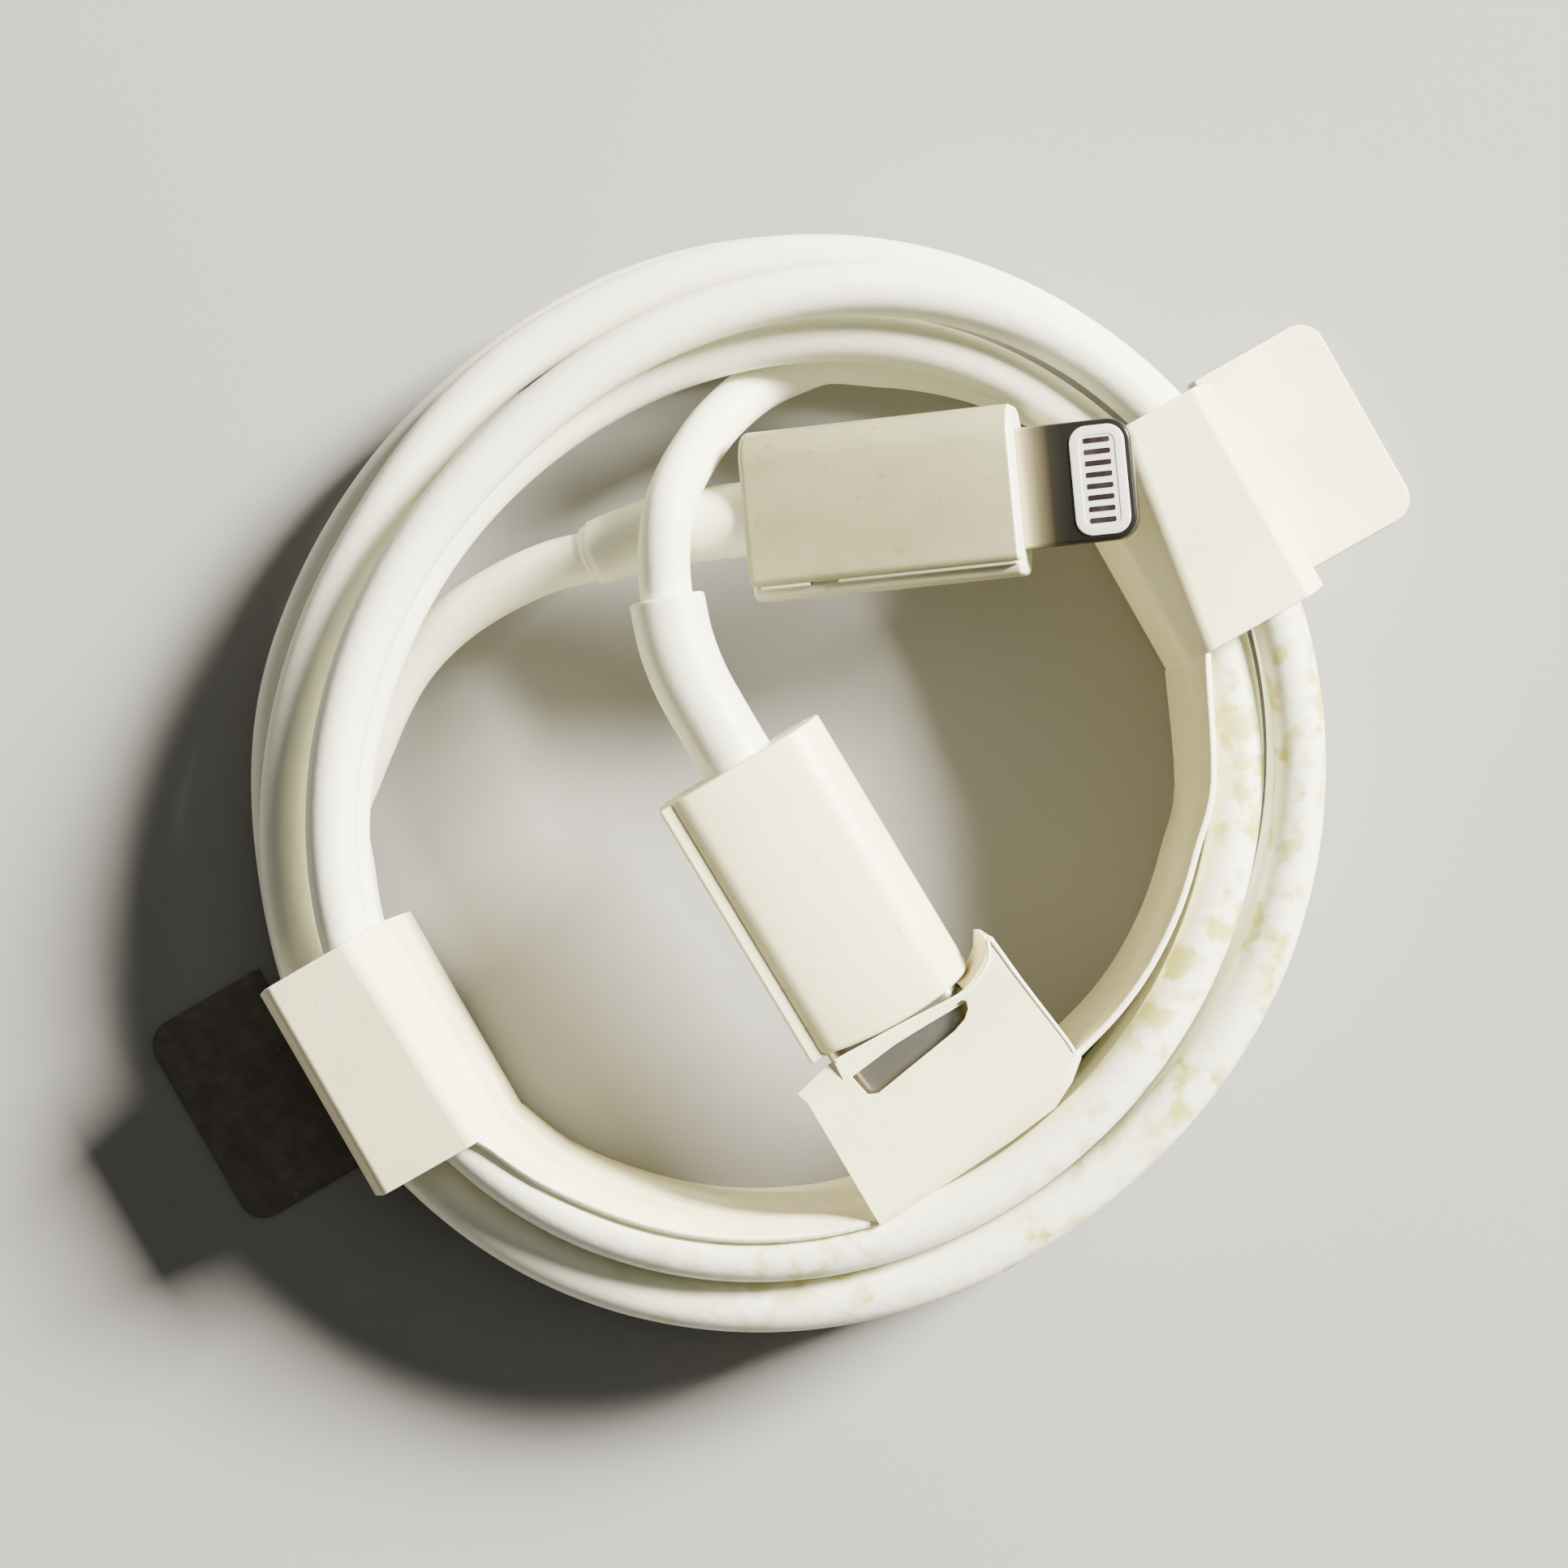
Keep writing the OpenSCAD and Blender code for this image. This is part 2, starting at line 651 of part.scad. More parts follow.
module phone_chips() {
    color(chip_black) translate(coil_centre) in_phone_plug()
        for (side = [-1, 1])
            translate([0, 0, side * (board_t + p_chip.z) / 2])
                block(p_board_front - 0.6 - p_chip.x, p_board_front - 0.6, p_chip.y, p_chip.z);
}

module phone_shield_can() {
    color(steel) translate(coil_centre) in_phone_plug()
        shield_can(p_board_back, p_board_front, p_can_w);
}

module phone_crimp_ferrule() {
    color(copper) translate(coil_centre) in_phone_plug() ferrule(p_cord_end - ferrule_l - 0.2);
}

module phone_core_wires() {
    color(copper) translate(coil_centre) in_phone_plug() core_wires(p_cord_end, p_board_back);
}

// ---------------------------------------------------------------- card retainer

// Points of the coil close enough together to fit card around
fine_points = [for (i = [0 : ring_count - 1], s = [0 : 0.2 : 0.9])
    coil_points[i] * (1 - s) + coil_points[i + 1] * s];
roof_z = coil_top_z + card_gap;

// The coil seen from a wrap: u is the distance out along the wrap's own
// direction, v the distance along its width
function u_of(p, turn) = p.x * cos(turn) + p.y * sin(turn);
function v_of(p, turn) = -p.x * sin(turn) + p.y * cos(turn);
function in_wrap(turn, off) =
    [for (p = fine_points)
        if (u_of(p, turn) > 0 && abs(v_of(p, turn) - off) < wrap_w / 2 + 0.4) u_of(p, turn)];
function wall_in(turn, off) = min(in_wrap(turn, off)) - cord_r - card_gap;
function wall_out(turn, off) = max(in_wrap(turn, off)) + cord_r + card_gap;

// Section of the room inside a wrap, in u and z, its inner fold at fold from the wall
// and ridge above the band's rim, its outer fold at shoulder_w from the other wall
function room(turn, off, fold, slope_h, ridge, drop, shoulder_w) =
    let (a = wall_in(turn, off), b = wall_out(turn, off))
    [[a - wrap_foot_inset, card_t], [b, card_t], [b, roof_z - shoulder_h],
        [b - shoulder_w, roof_z - drop], [a + fold, roof_z + ridge], [a, roof_z - slope_h]];

// A section grown outward by one thickness, its corners mitred
function grown(section, t) =
    let (n = len(section))
    [for (i = [0 : n - 1])
        let (a = unit(section[i] - section[(i + n - 1) % n]),
            b = unit(section[(i + 1) % n] - section[i]),
            na = [a.y, -a.x], nb = [b.y, -b.x])
        section[i] + t * (na + nb) / (1 + na * nb)];

// A solid between a section at v1 and another at v2, along a wrap's width
module loft(first, second, v1, v2) {
    skin([[for (p = second) [p.x, v2, p.y]], [for (p = first) [p.x, v1, p.y]]]);
}

module wrap(turn, off, near, far) {
    v1 = off - wrap_w / 2;
    v2 = off + wrap_w / 2;
    rotate([0, 0, turn]) difference() {
        loft(grown(near, card_t), grown(far, card_t), v1, v2);
        loft(near, far, v1 - eps, v2 + eps);
    }
}

module left_wrap() {
    color(card_white) translate(coil_centre)
        let (section = room(left_at, left_off, left_fold, left_slope_h,
            left_ridge, left_drop, left_shoulder_w))
        wrap(left_at, left_off, section, section);
}

module right_wrap() {
    color(card_white) translate(coil_centre)
        wrap(right_at, right_off,
            room(right_at, right_off, right_fold_near, right_slope_h, 0, 0, right_shoulder_w),
            room(right_at, right_off, right_fold_far, right_slope_h, 0, 0, right_shoulder_w));
}

// A tab lies flat in front of its wrap, and folds up about a line at the wrap's foot
fold_z = card_t / 2;
fold_edge = 0.15;
function fold_u(turn, off) = wall_out(turn, off) + card_t + fold_gap;

module tab(turn, off, tab_off) {
    u = fold_u(turn, off) + fold_edge;
    v = off + tab_off;
    rotate([0, 0, turn]) linear_extrude(card_t) {
        translate([u, v - tab_w / 2]) square([tab_l - tab_r, tab_w]);
        translate([u, v - tab_w / 2 + tab_r]) square([tab_l, tab_w - 2 * tab_r]);
        for (side = [-1, 1])
            translate([u + tab_l - tab_r, v + side * (tab_w / 2 - tab_r)])
                circle(tab_r, $fn = 48);
    }
}

module left_tab() {
    color(card_dark) translate(coil_centre) tab(left_at, left_off, left_tab_off);
}

module right_tab() {
    color(card_white) translate(coil_centre) tab(right_at, right_off, right_tab_off);
}

echo(left_fold_line = [fold_u(left_at, left_off), left_off, fold_z],
    right_fold_line = [fold_u(right_at, right_off), right_off, fold_z]);

// The inner band follows the inside of the coil from the left wrap to the right
// one. Each stop is a direction and how far the band stands in from the coil there.
band_foot = band_foot_inset + card_t;
left_end = left_at
    + atan2(left_off + wrap_w / 2 + panel_gap, wall_in(left_at, left_off) - band_foot);
right_end = 360 + right_at
    - atan2(wrap_w / 2 - right_off + panel_gap, wall_in(right_at, right_off) - band_foot);
holder_first = 281.6;
holder_last = 318;
band_stops = [[left_end, 0], [238, 0], [247, 0], [256, 0], [265, 0], [274, 0],
    [holder_first, 0], [holder_last, band_inset], [326, 0.55], [334, 0.3], [343, 0.2],
    [352, 0.15], [361, 0.05], [right_end, 0]];

function inner_r(turn) =
    min([for (p = [turn : 360 : coil_end]) if (p >= coil_from) coil_r(p)]) - cord_r;
// The outer face of the band at a stop
function band_r(stop) =
    stop[0] == left_end ? wall_in(left_at, left_off) / cos(left_end - left_at) - 0.05
    : stop[0] == right_end ? wall_in(right_at, right_off) / cos(right_end - 360 - right_at) - 0.05
    : inner_r(stop[0]) - band_gap - stop[1];
function polar(r, turn) = [r * cos(turn), r * sin(turn)];

// The rim leans out over the cord's shoulder, at half a right angle
function flare_at(turn) = turn <= holder_first ? rim_flare : 0.02;

module inner_band() {
    // Six corners at each stop: outer foot, inner foot, and knee and rim on each side
    color(card_white) translate(coil_centre) skin([for (stop = band_stops)
        let (r = band_r(stop), flare = flare_at(stop[0]))
        [for (c = [[r - band_foot_inset, 0], [r - band_foot_inset - card_t, 0],
            [r - card_t, roof_z - flare], [r + flare - card_t, roof_z],
            [r + flare, roof_z], [r, roof_z - flare]])
            [polar(c[0], stop[0]).x, polar(c[0], stop[0]).y, c[1]]]]);
}

holder_w = shell_w + 2 * holder_side;
holder_w_in = shell_w + 2 * holder_side_in;

// The holder is a flap folded in from the band's rim. Its front edge follows the
// boot of the plug that it holds, and a lip folds down there with a window for
// the metal shell.
lip_half = c_boot_w / 2 - 0.3;
lip_x = lip_gap;

// A point of the plug's own frame seen from the holder, in u and v
function from_plug(x, y) =
    let (p = charger_at + x * [cos(charger_turn), sin(charger_turn), 0]
        + y * [-sin(charger_turn), cos(charger_turn), 0])
    [u_of(p, holder_at), v_of(p, holder_at)];

// The lips rise into the flap, so that the folds are one piece of card
lip_top = roof_z + card_t - 0.05;

holder_outline = [
    [holder_out, holder_off - holder_w / 2],
    [holder_in, holder_off + 0.8 - holder_w_in / 2],
    from_plug(lip_x + card_t / 2, -lip_half - 0.05),
    from_plug(lip_x + card_t / 2, lip_half + 0.05),
    [holder_in, holder_off + 0.8 + holder_w_in / 2],
    [holder_out, holder_off + holder_w / 2]
];

slot_r = 0.25;
slot_half = shell_w / 2 - 0.35;

module holder_slot() {
    near = [from_plug(lip_x + strip_w, -slot_half), from_plug(lip_x + strip_w, slot_half)];
    hull() {
        for (p = near) translate(p + [slot_r, 0]) circle(slot_r, $fn = 24);
        for (p = near)
            translate([slot_far - slot_r, p.y - sign(p.y - near[0].y) * 0.4])
                circle(slot_r, $fn = 24);
    }
}

module plug_holder() {
    color(card_white) translate(coil_centre) {
        rotate([0, 0, holder_at]) {
            translate([0, 0, roof_z]) linear_extrude(card_t) difference() {
                polygon(holder_outline);
                holder_slot();
            }
            side_lip();
        }
        difference() {
            front_lip();
            in_charger_plug() bar(-1, shell_out + 1, shell_w + 2 * window_gap,
                shell_h + 2 * window_gap, shell_h / 2);
        }
    }
}

// The front lip hangs down square to the plug
module front_lip() {
    translate([charger_at.x, charger_at.y, 0]) rotate([0, 0, charger_turn])
        translate([lip_x, -lip_half, lip_top - lip_h]) cube([card_t, 2 * lip_half, lip_h]);
}

side_lip_splay = 0.5;

// The side lip hangs from the flap's edge on the coil's right
module side_lip() {
    a = holder_outline[4];
    b = holder_outline[5];
    d = unit(b - a);
    s = [d.y, -d.x];
    foot = -side_lip_splay * s;
    ends = [a + 0.3 * d + 0.03 * s, b - 0.8 * d + 0.03 * s];
    skin([for (p = ends)
        [[p.x, p.y, lip_top], [p.x + card_t * s.x, p.y + card_t * s.y, lip_top],
            [p.x + card_t * s.x + foot.x, p.y + card_t * s.y + foot.y, lip_top - side_lip_h],
            [p.x + foot.x, p.y + foot.y, lip_top - side_lip_h]]]);
}

cord_coil();
charger_lead();
phone_lead();
charger_boot();
charger_strain_relief();
charger_inner_mould();
charger_shell();
charger_contact_housing();
charger_contacts_top();
charger_contacts_bottom();
charger_latch_springs();
charger_ground_springs();
charger_circuit_board();
charger_chip();
charger_shield_can();
charger_crimp_ferrule();
charger_core_wires();
phone_boot();
phone_strain_relief();
phone_inner_mould();
phone_steel_tip();
phone_contact_insert();
phone_contacts_top();
phone_contacts_bottom();
phone_circuit_board();
phone_chips();
phone_shield_can();
phone_crimp_ferrule();
phone_core_wires();
inner_band();
left_wrap();
left_tab();
right_wrap();
right_tab();
plug_holder();
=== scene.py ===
import math

import bmesh
import bpy
from mathutils import Matrix, Vector


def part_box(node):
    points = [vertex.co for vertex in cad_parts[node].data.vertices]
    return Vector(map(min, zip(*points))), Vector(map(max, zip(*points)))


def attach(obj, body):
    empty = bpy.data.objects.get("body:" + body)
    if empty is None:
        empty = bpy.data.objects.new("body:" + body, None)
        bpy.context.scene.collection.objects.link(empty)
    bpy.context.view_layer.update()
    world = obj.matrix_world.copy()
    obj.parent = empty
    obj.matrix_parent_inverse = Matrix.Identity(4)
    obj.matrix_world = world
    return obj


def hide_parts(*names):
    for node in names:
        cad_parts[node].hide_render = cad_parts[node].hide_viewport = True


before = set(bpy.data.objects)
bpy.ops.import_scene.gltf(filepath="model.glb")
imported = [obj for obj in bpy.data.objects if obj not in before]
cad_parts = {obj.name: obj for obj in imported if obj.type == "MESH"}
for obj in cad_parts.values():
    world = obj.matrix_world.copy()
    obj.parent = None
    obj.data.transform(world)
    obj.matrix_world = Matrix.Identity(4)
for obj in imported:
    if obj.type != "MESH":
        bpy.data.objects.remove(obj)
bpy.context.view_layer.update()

# ---------------------------------------------------------------- camera
# The cable is seen from straight above, over the middle of the coil, through a long lens
# that shows the upper and the lower turns at nearly one size.
CAMERA_OVER = (0.0001, -0.0008)
CAMERA_HEIGHT = 0.235
CAMERA_LENS = 91.77
CAMERA_SENSOR = 36

camera_data = bpy.data.cameras.new("camera")
camera_data.lens = CAMERA_LENS
camera_data.sensor_width = CAMERA_SENSOR
camera = bpy.data.objects.new("camera", camera_data)
camera.location = (*CAMERA_OVER, CAMERA_HEIGHT)
bpy.context.scene.collection.objects.link(camera)
bpy.context.scene.camera = camera

# ---------------------------------------------------------------- cord
# About a metre of thin round cord in a soft white jacket. It leaves the charger plug,
# lies in four layers of loops that the card holds, and runs up into the phone plug.
MM = 0.001
CORD_RADIUS = 1.45
COIL_CENTRE = Vector((0.3, -1.1, 0))
COIL_FROM = 190
COIL_TO = 78
LOOPS = 6
COIL_STEP = 5
# Each stop: the angle wound so far, the place between the inner track (0) and the outer
# one (1), and the layer that the turn lies in.
COIL_STOPS = [
    (190, 0.05, 0),
    (250, 0, 0),
    (330, 0, 0),
    (400, 0.15, 0),
    (440, 0.05, 0),
    (545, 1.2, 0),
    (600, 1.17, 0),
    (760, 1.33, 0),
    (830, 1.48, 1),
    (885, 1.45, 1),
    (915, 1.18, 1),
    (1040, 1.1, 1),
    (1125, 1.15, 2),
    (1170, 1.28, 2),
    (1200, 1.22, 2),
    (1232, 0.97, 2),
    (1285, 1, 2.02),
    (1380, 0.98, 2.58),
    (1422, 1.12, 2.76),
    (1465, 0.98, 3),
    (1490, 0.87, 3),
    (1578, 0, 3),
    (1755, -0.05, 3),
    (1825, -0.08, 2.55),
    (1860, -0.16, 2.45),
    (1915, -0.26, 1.98),
    (1955, -0.2, 1.88),
    (1995, -0.05, 1.5),
    (2060, -0.02, 1.5),
    (2170, -0.04, 1.38),
    (2205, -0.08, 1.36),
    (2260, -0.7, 1.24),
]
INNER_TRACK = 25.75
TRACK_STEP = 3.0
LAYER_STEP = 3.34
LOWEST_TURN = 2.0
# The coil is slightly oval: by how much, and in which direction.
OVAL = 1.0
OVAL_AT = 55
COIL_END = COIL_TO + 360 * LOOPS


def coil_point(angle):
    """A point of the coil, once it has wound through an angle."""
    for start, end in zip(COIL_STOPS, COIL_STOPS[1:]):
        if start[0] <= angle <= end[0]:
            share = (angle - start[0]) / (end[0] - start[0])
            share = share * share * (3 - 2 * share)
            track = start[1] + (end[1] - start[1]) * share
            layer = start[2] + (end[2] - start[2]) * share
    radius = INNER_TRACK + TRACK_STEP * track
    radius += OVAL * math.cos(math.radians(2 * (angle - OVAL_AT)))
    turn = math.radians(angle)
    height = LOWEST_TURN + LAYER_STEP * layer
    return Vector((radius * math.cos(turn), radius * math.sin(turn), height))


PHONE_AT = Vector((12.9, 16.6, 13.9))
PHONE_TURN = 5.4
PHONE_RISE = 12
PHONE_BOOT_LENGTH = 15.3
CHARGER_AT = Vector((5.6, -12.4, 12))
CHARGER_TURN = -59
CHARGER_RISE = -4
CHARGER_BOOT_LENGTH = 16.3
STRAIGHT_RUN = 2.2
CORD_IN_BOOT = 3.4


def direction(turn, rise):
    """A way to point, from its turn about Z and its rise above the level."""
    turn = math.radians(turn)
    rise = math.radians(rise)
    return Vector(
        (math.cos(turn) * math.cos(rise), math.sin(turn) * math.cos(rise), math.sin(rise))
    )


phone_axis = direction(PHONE_TURN, PHONE_RISE)
charger_axis = direction(CHARGER_TURN, CHARGER_RISE)
phone_rear = PHONE_AT - PHONE_BOOT_LENGTH * phone_axis
charger_rear = CHARGER_AT - CHARGER_BOOT_LENGTH * charger_axis

phone_route = [
    phone_rear + CORD_IN_BOOT * phone_axis,
    phone_rear,
    phone_rear - STRAIGHT_RUN * phone_axis,
]
phone_route += [
    Vector(p)
    for p in (
        (-6.6, 14.6, 9.75),
        (-9, 14, 9.15),
        (-11.2, 13.2, 8.5),
        (-13.2, 12.75, 7.75),
        (-15.2, 12, 7),
        (-17.2, 11, 6.2),
        (-19, 9.85, 5.5),
        (-20.6, 8.5, 4.8),
        (-22, 6.9, 4.15),
        (-23.2, 4.9, 3.5),
        (-24.2, 2.7, 2.9),
        (-25.1, 0.6, 2.4),
    )
]
charger_route = [
    Vector(p)
    for p in (
        (0.3, 24, 6.35),
        (-1.4, 23.15, 6.75),
        (-2.9, 21.95, 7.7),
        (-4.2, 20.5, 9),
        (-5.2, 18.9, 10.65),
        (-6, 17.3, 12.35),
        (-6.5, 15.85, 13.35),
        (-6.75, 14.4, 13.7),
        (-6.85, 12.6, 13.65),
        (-6.7, 10.6, 13.5),
        (-6.2, 8.2, 13.5),
        (-5.3, 5.9, 13.45),
    )
]
charger_route += [
    charger_rear - STRAIGHT_RUN * charger_axis,
    charger_rear,
    charger_rear + CORD_IN_BOOT * charger_axis,
]
coil_steps = int((COIL_END - COIL_FROM) // COIL_STEP) + 1
coil_route = [coil_point(COIL_FROM + COIL_STEP * i) for i in range(coil_steps)]
coil_route.append(coil_point(COIL_END))
coil_way_in = (coil_route[1] - coil_route[0]).normalized()
coil_way_out = (coil_route[-1] - coil_route[-2]).normalized()


def smooth_route(route, steps):
    """Points on one smooth curve through every point of a route."""
    result = []
    for i in range(len(route) - 1):
        before = route[max(0, i - 1)]
        start, end = route[i], route[i + 1]
        after = route[min(len(route) - 1, i + 2)]
        for k in range(steps):
            t = k / steps
            result.append(
                0.5
                * (
                    2 * start
                    + (end - before) * t
                    + (2 * before - 5 * start + 4 * end - after) * t * t
                    + (3 * start - before - 3 * end + after) * t * t * t
                )
            )
    return result + [route[-1]]


def to_frame(point):
    """A point given in millimetres from the coil's centre, in metres in the part's frame."""
    return (Vector(point) + COIL_CENTRE) * MM


def tube_along(name, points, radii, sides=8):
    """A round tube along points, as a curve with its own radius at each of them."""
    curve = bpy.data.curves.new(name, "CURVE")
    curve.dimensions = "3D"
    curve.bevel_depth = MM
    curve.bevel_resolution = sides
    curve.use_fill_caps = True
    spline = curve.splines.new("POLY")
    spline.points.add(len(points) - 1)
    for spot, point, radius in zip(spline.points, points, radii):
        spot.co = (*to_frame(point), 1)
        spot.radius = radius
    piece = bpy.data.objects.new(name, curve)
    bpy.context.scene.collection.objects.link(piece)
    return piece


full_route = phone_route + [coil_route[0] - 2 * CORD_RADIUS * coil_way_in]
full_route += coil_route + [coil_route[-1] + 2 * CORD_RADIUS * coil_way_out] + charger_route
full_route.reverse()
cord_line = smooth_route(full_route, 3)
cord = tube_along("charging_cord", cord_line, [1] * len(cord_line))
cord.data.bevel_depth = CORD_RADIUS * MM


def new_material(name, color, roughness):
    """A material with its node tree and its shader."""
    material = bpy.data.materials.new(name)
    material.use_nodes = True
    shader = material.node_tree.nodes["Principled BSDF"]
    shader.inputs["Base Color"].default_value = (*color, 1)
    shader.inputs["Roughness"].default_value = roughness
    return material, material.node_tree, shader


def object_noise(tree, scale, detail=3.0, stretch=(1, 1, 1)):
    """A noise in the piece's own coordinates."""
    place = tree.nodes.new("ShaderNodeTexCoord")
    mapping = tree.nodes.new("ShaderNodeMapping")
    mapping.inputs["Scale"].default_value = stretch
    texture = tree.nodes.new("ShaderNodeTexNoise")
    texture.inputs["Scale"].default_value = scale
    texture.inputs["Detail"].default_value = detail
    tree.links.new(place.outputs["Object"], mapping.inputs["Vector"])
    tree.links.new(mapping.outputs["Vector"], texture.inputs["Vector"])
    return texture.outputs["Fac"]


def ramp(tree, value, stops):
    """A colour ramp from a list of (position, colour)."""
    node = tree.nodes.new("ShaderNodeValToRGB")
    elements = node.color_ramp.elements
    while len(elements) < len(stops):
        elements.new(0.5)
    for element, (position, color) in zip(elements, stops):
        element.position = position
        element.color = (*color, 1)
    tree.links.new(value, node.inputs["Fac"])
    return node.outputs["Color"]


def feed(tree, value, socket):
    """Gives a socket a plain colour, a number, or what another socket gives."""
    if isinstance(value, tuple):
        socket.default_value = (*value, 1)
    elif isinstance(value, (int, float)):
        socket.default_value = value
    else:
        tree.links.new(value, socket)


def mixed(tree, amount, first, second):
    """Two colours mixed by an amount."""
    node = tree.nodes.new("ShaderNodeMix")
    node.data_type = "RGBA"
    feed(tree, amount, node.inputs[0])
    feed(tree, first, node.inputs[6])
    feed(tree, second, node.inputs[7])
    return node.outputs[2]


BUMP_DEPTH = 0.0001


def bumped(tree, shader, height, strength):
    """Raises and sinks the surface by a height."""
    node = tree.nodes.new("ShaderNodeBump")
    node.inputs["Strength"].default_value = strength
    node.inputs["Distance"].default_value = BUMP_DEPTH
    tree.links.new(height, node.inputs["Height"])
    tree.links.new(node.outputs["Normal"], shader.inputs["Normal"])


def between(tree, value, low, high):
    """0 below low, 1 above high, even in between."""
    node = tree.nodes.new("ShaderNodeMapRange")
    node.inputs["From Min"].default_value = low
    node.inputs["From Max"].default_value = high
    tree.links.new(value, node.inputs["Value"])
    return node.outputs["Result"]


def multiplied(tree, first, second):
    """Two amounts multiplied."""
    node = tree.nodes.new("ShaderNodeMath")
    node.operation = "MULTIPLY"
    feed(tree, first, node.inputs[0])
    feed(tree, second, node.inputs[1])
    return node.outputs[0]


def along_direction(tree, way):
    """How far a point of the piece lies along a direction, in metres."""
    place = tree.nodes.new("ShaderNodeTexCoord")
    dot = tree.nodes.new("ShaderNodeVectorMath")
    dot.operation = "DOT_PRODUCT"
    dot.inputs[1].default_value = way
    tree.links.new(place.outputs["Object"], dot.inputs[0])
    return dot.outputs["Value"]


# The jacket is matt, faintly mottled, and grubby on the side of the coil that was handled.
JACKET = (0.90, 0.895, 0.75)
JACKET_GREY = (0.83, 0.83, 0.68)
GRIME = (0.50, 0.49, 0.13)

jacket, tree, shader = new_material("cord_jacket", JACKET, 0.5)
mottle = mixed(tree, object_noise(tree, 380), JACKET, JACKET_GREY)
handled = between(tree, along_direction(tree, (0.82, -0.57, 0)), 0.004, 0.022)
grime = between(tree, object_noise(tree, 620, detail=6), 0.47, 0.60)
patches = between(tree, object_noise(tree, 130, detail=2), 0.40, 0.52)
on_top = between(tree, along_direction(tree, (0, 0, 1)), 0.0085, 0.0115)
soiled = multiplied(tree, multiplied(tree, grime, patches), multiplied(tree, handled, on_top))
color = mixed(tree, soiled, mottle, GRIME)
tree.links.new(color, shader.inputs["Base Color"])
bumped(tree, shader, object_noise(tree, 1500, detail=4), 0.25)
cord.data.materials.append(jacket)

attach(cord, "cable_and_retainer")
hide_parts("cord_coil", "charger_lead", "phone_lead")

# ---------------------------------------------------------------- strain reliefs
# Soft sleeves of the boots' own plastic, moulded over the cord. The charger plug's is
# straight and has a cut edge; the phone plug's tapers in two steps.


def rides(piece, material, slot, *nodes, body="cable_and_retainer"):
    """Gives a finished piece its material, its body and the solids that it stands for."""
    piece.data.materials.append(material)
    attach(piece, body)
    if nodes:
        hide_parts(*nodes)


def plain_finish(name, color, other, roughness, grain, pitting, bump, metallic=0.0):
    """Two close tones mixed by a fine grain, over a surface that is pitted finer still."""
    material, tree, shader = new_material(name, color, roughness)
    shader.inputs["Metallic"].default_value = metallic
    tone = mixed(tree, object_noise(tree, grain), color, other)
    tree.links.new(tone, shader.inputs["Base Color"])
    bumped(tree, shader, object_noise(tree, pitting), bump)
    return material


relief_plastic = plain_finish(
    "relief_plastic", (0.85, 0.85, 0.71), (0.78, 0.78, 0.64), 0.42, 260, pitting=900, bump=0.15
)


def sleeve(name, route, profile, node):
    """A sleeve on a route, with a list of (share of its length, radius)."""
    line = smooth_route(route, 12)
    radii = []
    for i in range(len(line)):
        share = i / (len(line) - 1)
        for (s0, r0), (s1, r1) in zip(profile, profile[1:]):
            if s0 <= share <= s1:
                radius = r0 + (r1 - r0) * (share - s0) / max(1e-6, s1 - s0)
        radii.append(radius)
    piece = tube_along(name, line, radii, sides=10)
    rides(piece, relief_plastic, "boot", node)


sleeve(
    "charger_relief_sleeve",
    charger_route[-6:-1],
    [(0, 1.98), (0.015, 2.1), (0.3, 2.12), (0.9, 2.1), (1, 2.1)],
    "charger_strain_relief",
)
sleeve(
    "phone_relief_sleeve",
    phone_route[1:6],
    [
        (0, 2.1),
        (0.5, 2.1),
        (0.56, 2.02),
        (0.6, 2.08),
        (0.66, 2.02),
        (0.7, 2.0),
        (0.92, 1.88),
        (0.94, 1.72),
        (0.985, 1.7),
        (1, 1.56),
    ],
    "phone_strain_relief",
)

# ---------------------------------------------------------------- plug boots
# Each boot is two shells of smooth white plastic, moulded round the plug's works. The
# lower shell stands a little proud along one side and leaves a narrow ledge.


def boot_plastic(name, light, shade, fleck):
    """Smooth plastic, faintly clouded, with specks of dirt and small moulding pits."""
    material, tree, shader = new_material(name, light, 0.42)
    clouds = between(tree, object_noise(tree, 170, detail=4), 0.38, 0.64)
    tone = mixed(tree, clouds, light, shade)
    specks = between(tree, object_noise(tree, 1100, detail=1), 0.70, 0.74)
    tone = mixed(tree, multiplied(tree, specks, 0.35), tone, fleck)
    tree.links.new(tone, shader.inputs["Base Color"])
    pits = between(tree, object_noise(tree, 420, detail=2), 0.68, 0.78)
    bumped(tree, shader, pits, 0.35)
    return material


charger_plastic = boot_plastic(
    "charger_plastic", light=(0.89, 0.845, 0.55), shade=(0.80, 0.75, 0.47), fleck=(0.5, 0.44, 0.27)
)
# Painted shade: the phone boot's white plastic painted dark, for its top tilted away from the
# light.
phone_plastic_painted_shade = boot_plastic(
    "phone_plastic_painted_shade", light=(0.34, 0.32, 0.19), shade=(0.28, 0.26, 0.15), fleck=(0.18, 0.16, 0.08)
)
# Painted light: a paler copy of the same plastic for the phone boot's lower shell and its flash.
phone_plastic_painted_light = boot_plastic(
    "phone_plastic_painted_light", light=(0.54, 0.515, 0.39), shade=(0.47, 0.445, 0.33), fleck=(0.34, 0.31, 0.22)
)


def placed(turn, rise=0, at=(0, 0, 0)):
    """Where a piece lies whose own +X is turned about Z and raised above the level. On a
    plug +X runs out from the boot's front face, and on the card out from the coil."""
    return (
        Matrix.Translation(to_frame(at))
        @ Matrix.Rotation(math.radians(turn), 4, "Z")
        @ Matrix.Rotation(math.radians(-rise), 4, "Y")
        @ Matrix.Scale(MM, 4)
    )


phone_place = placed(PHONE_TURN, PHONE_RISE, PHONE_AT)
charger_place = placed(CHARGER_TURN, CHARGER_RISE, CHARGER_AT)


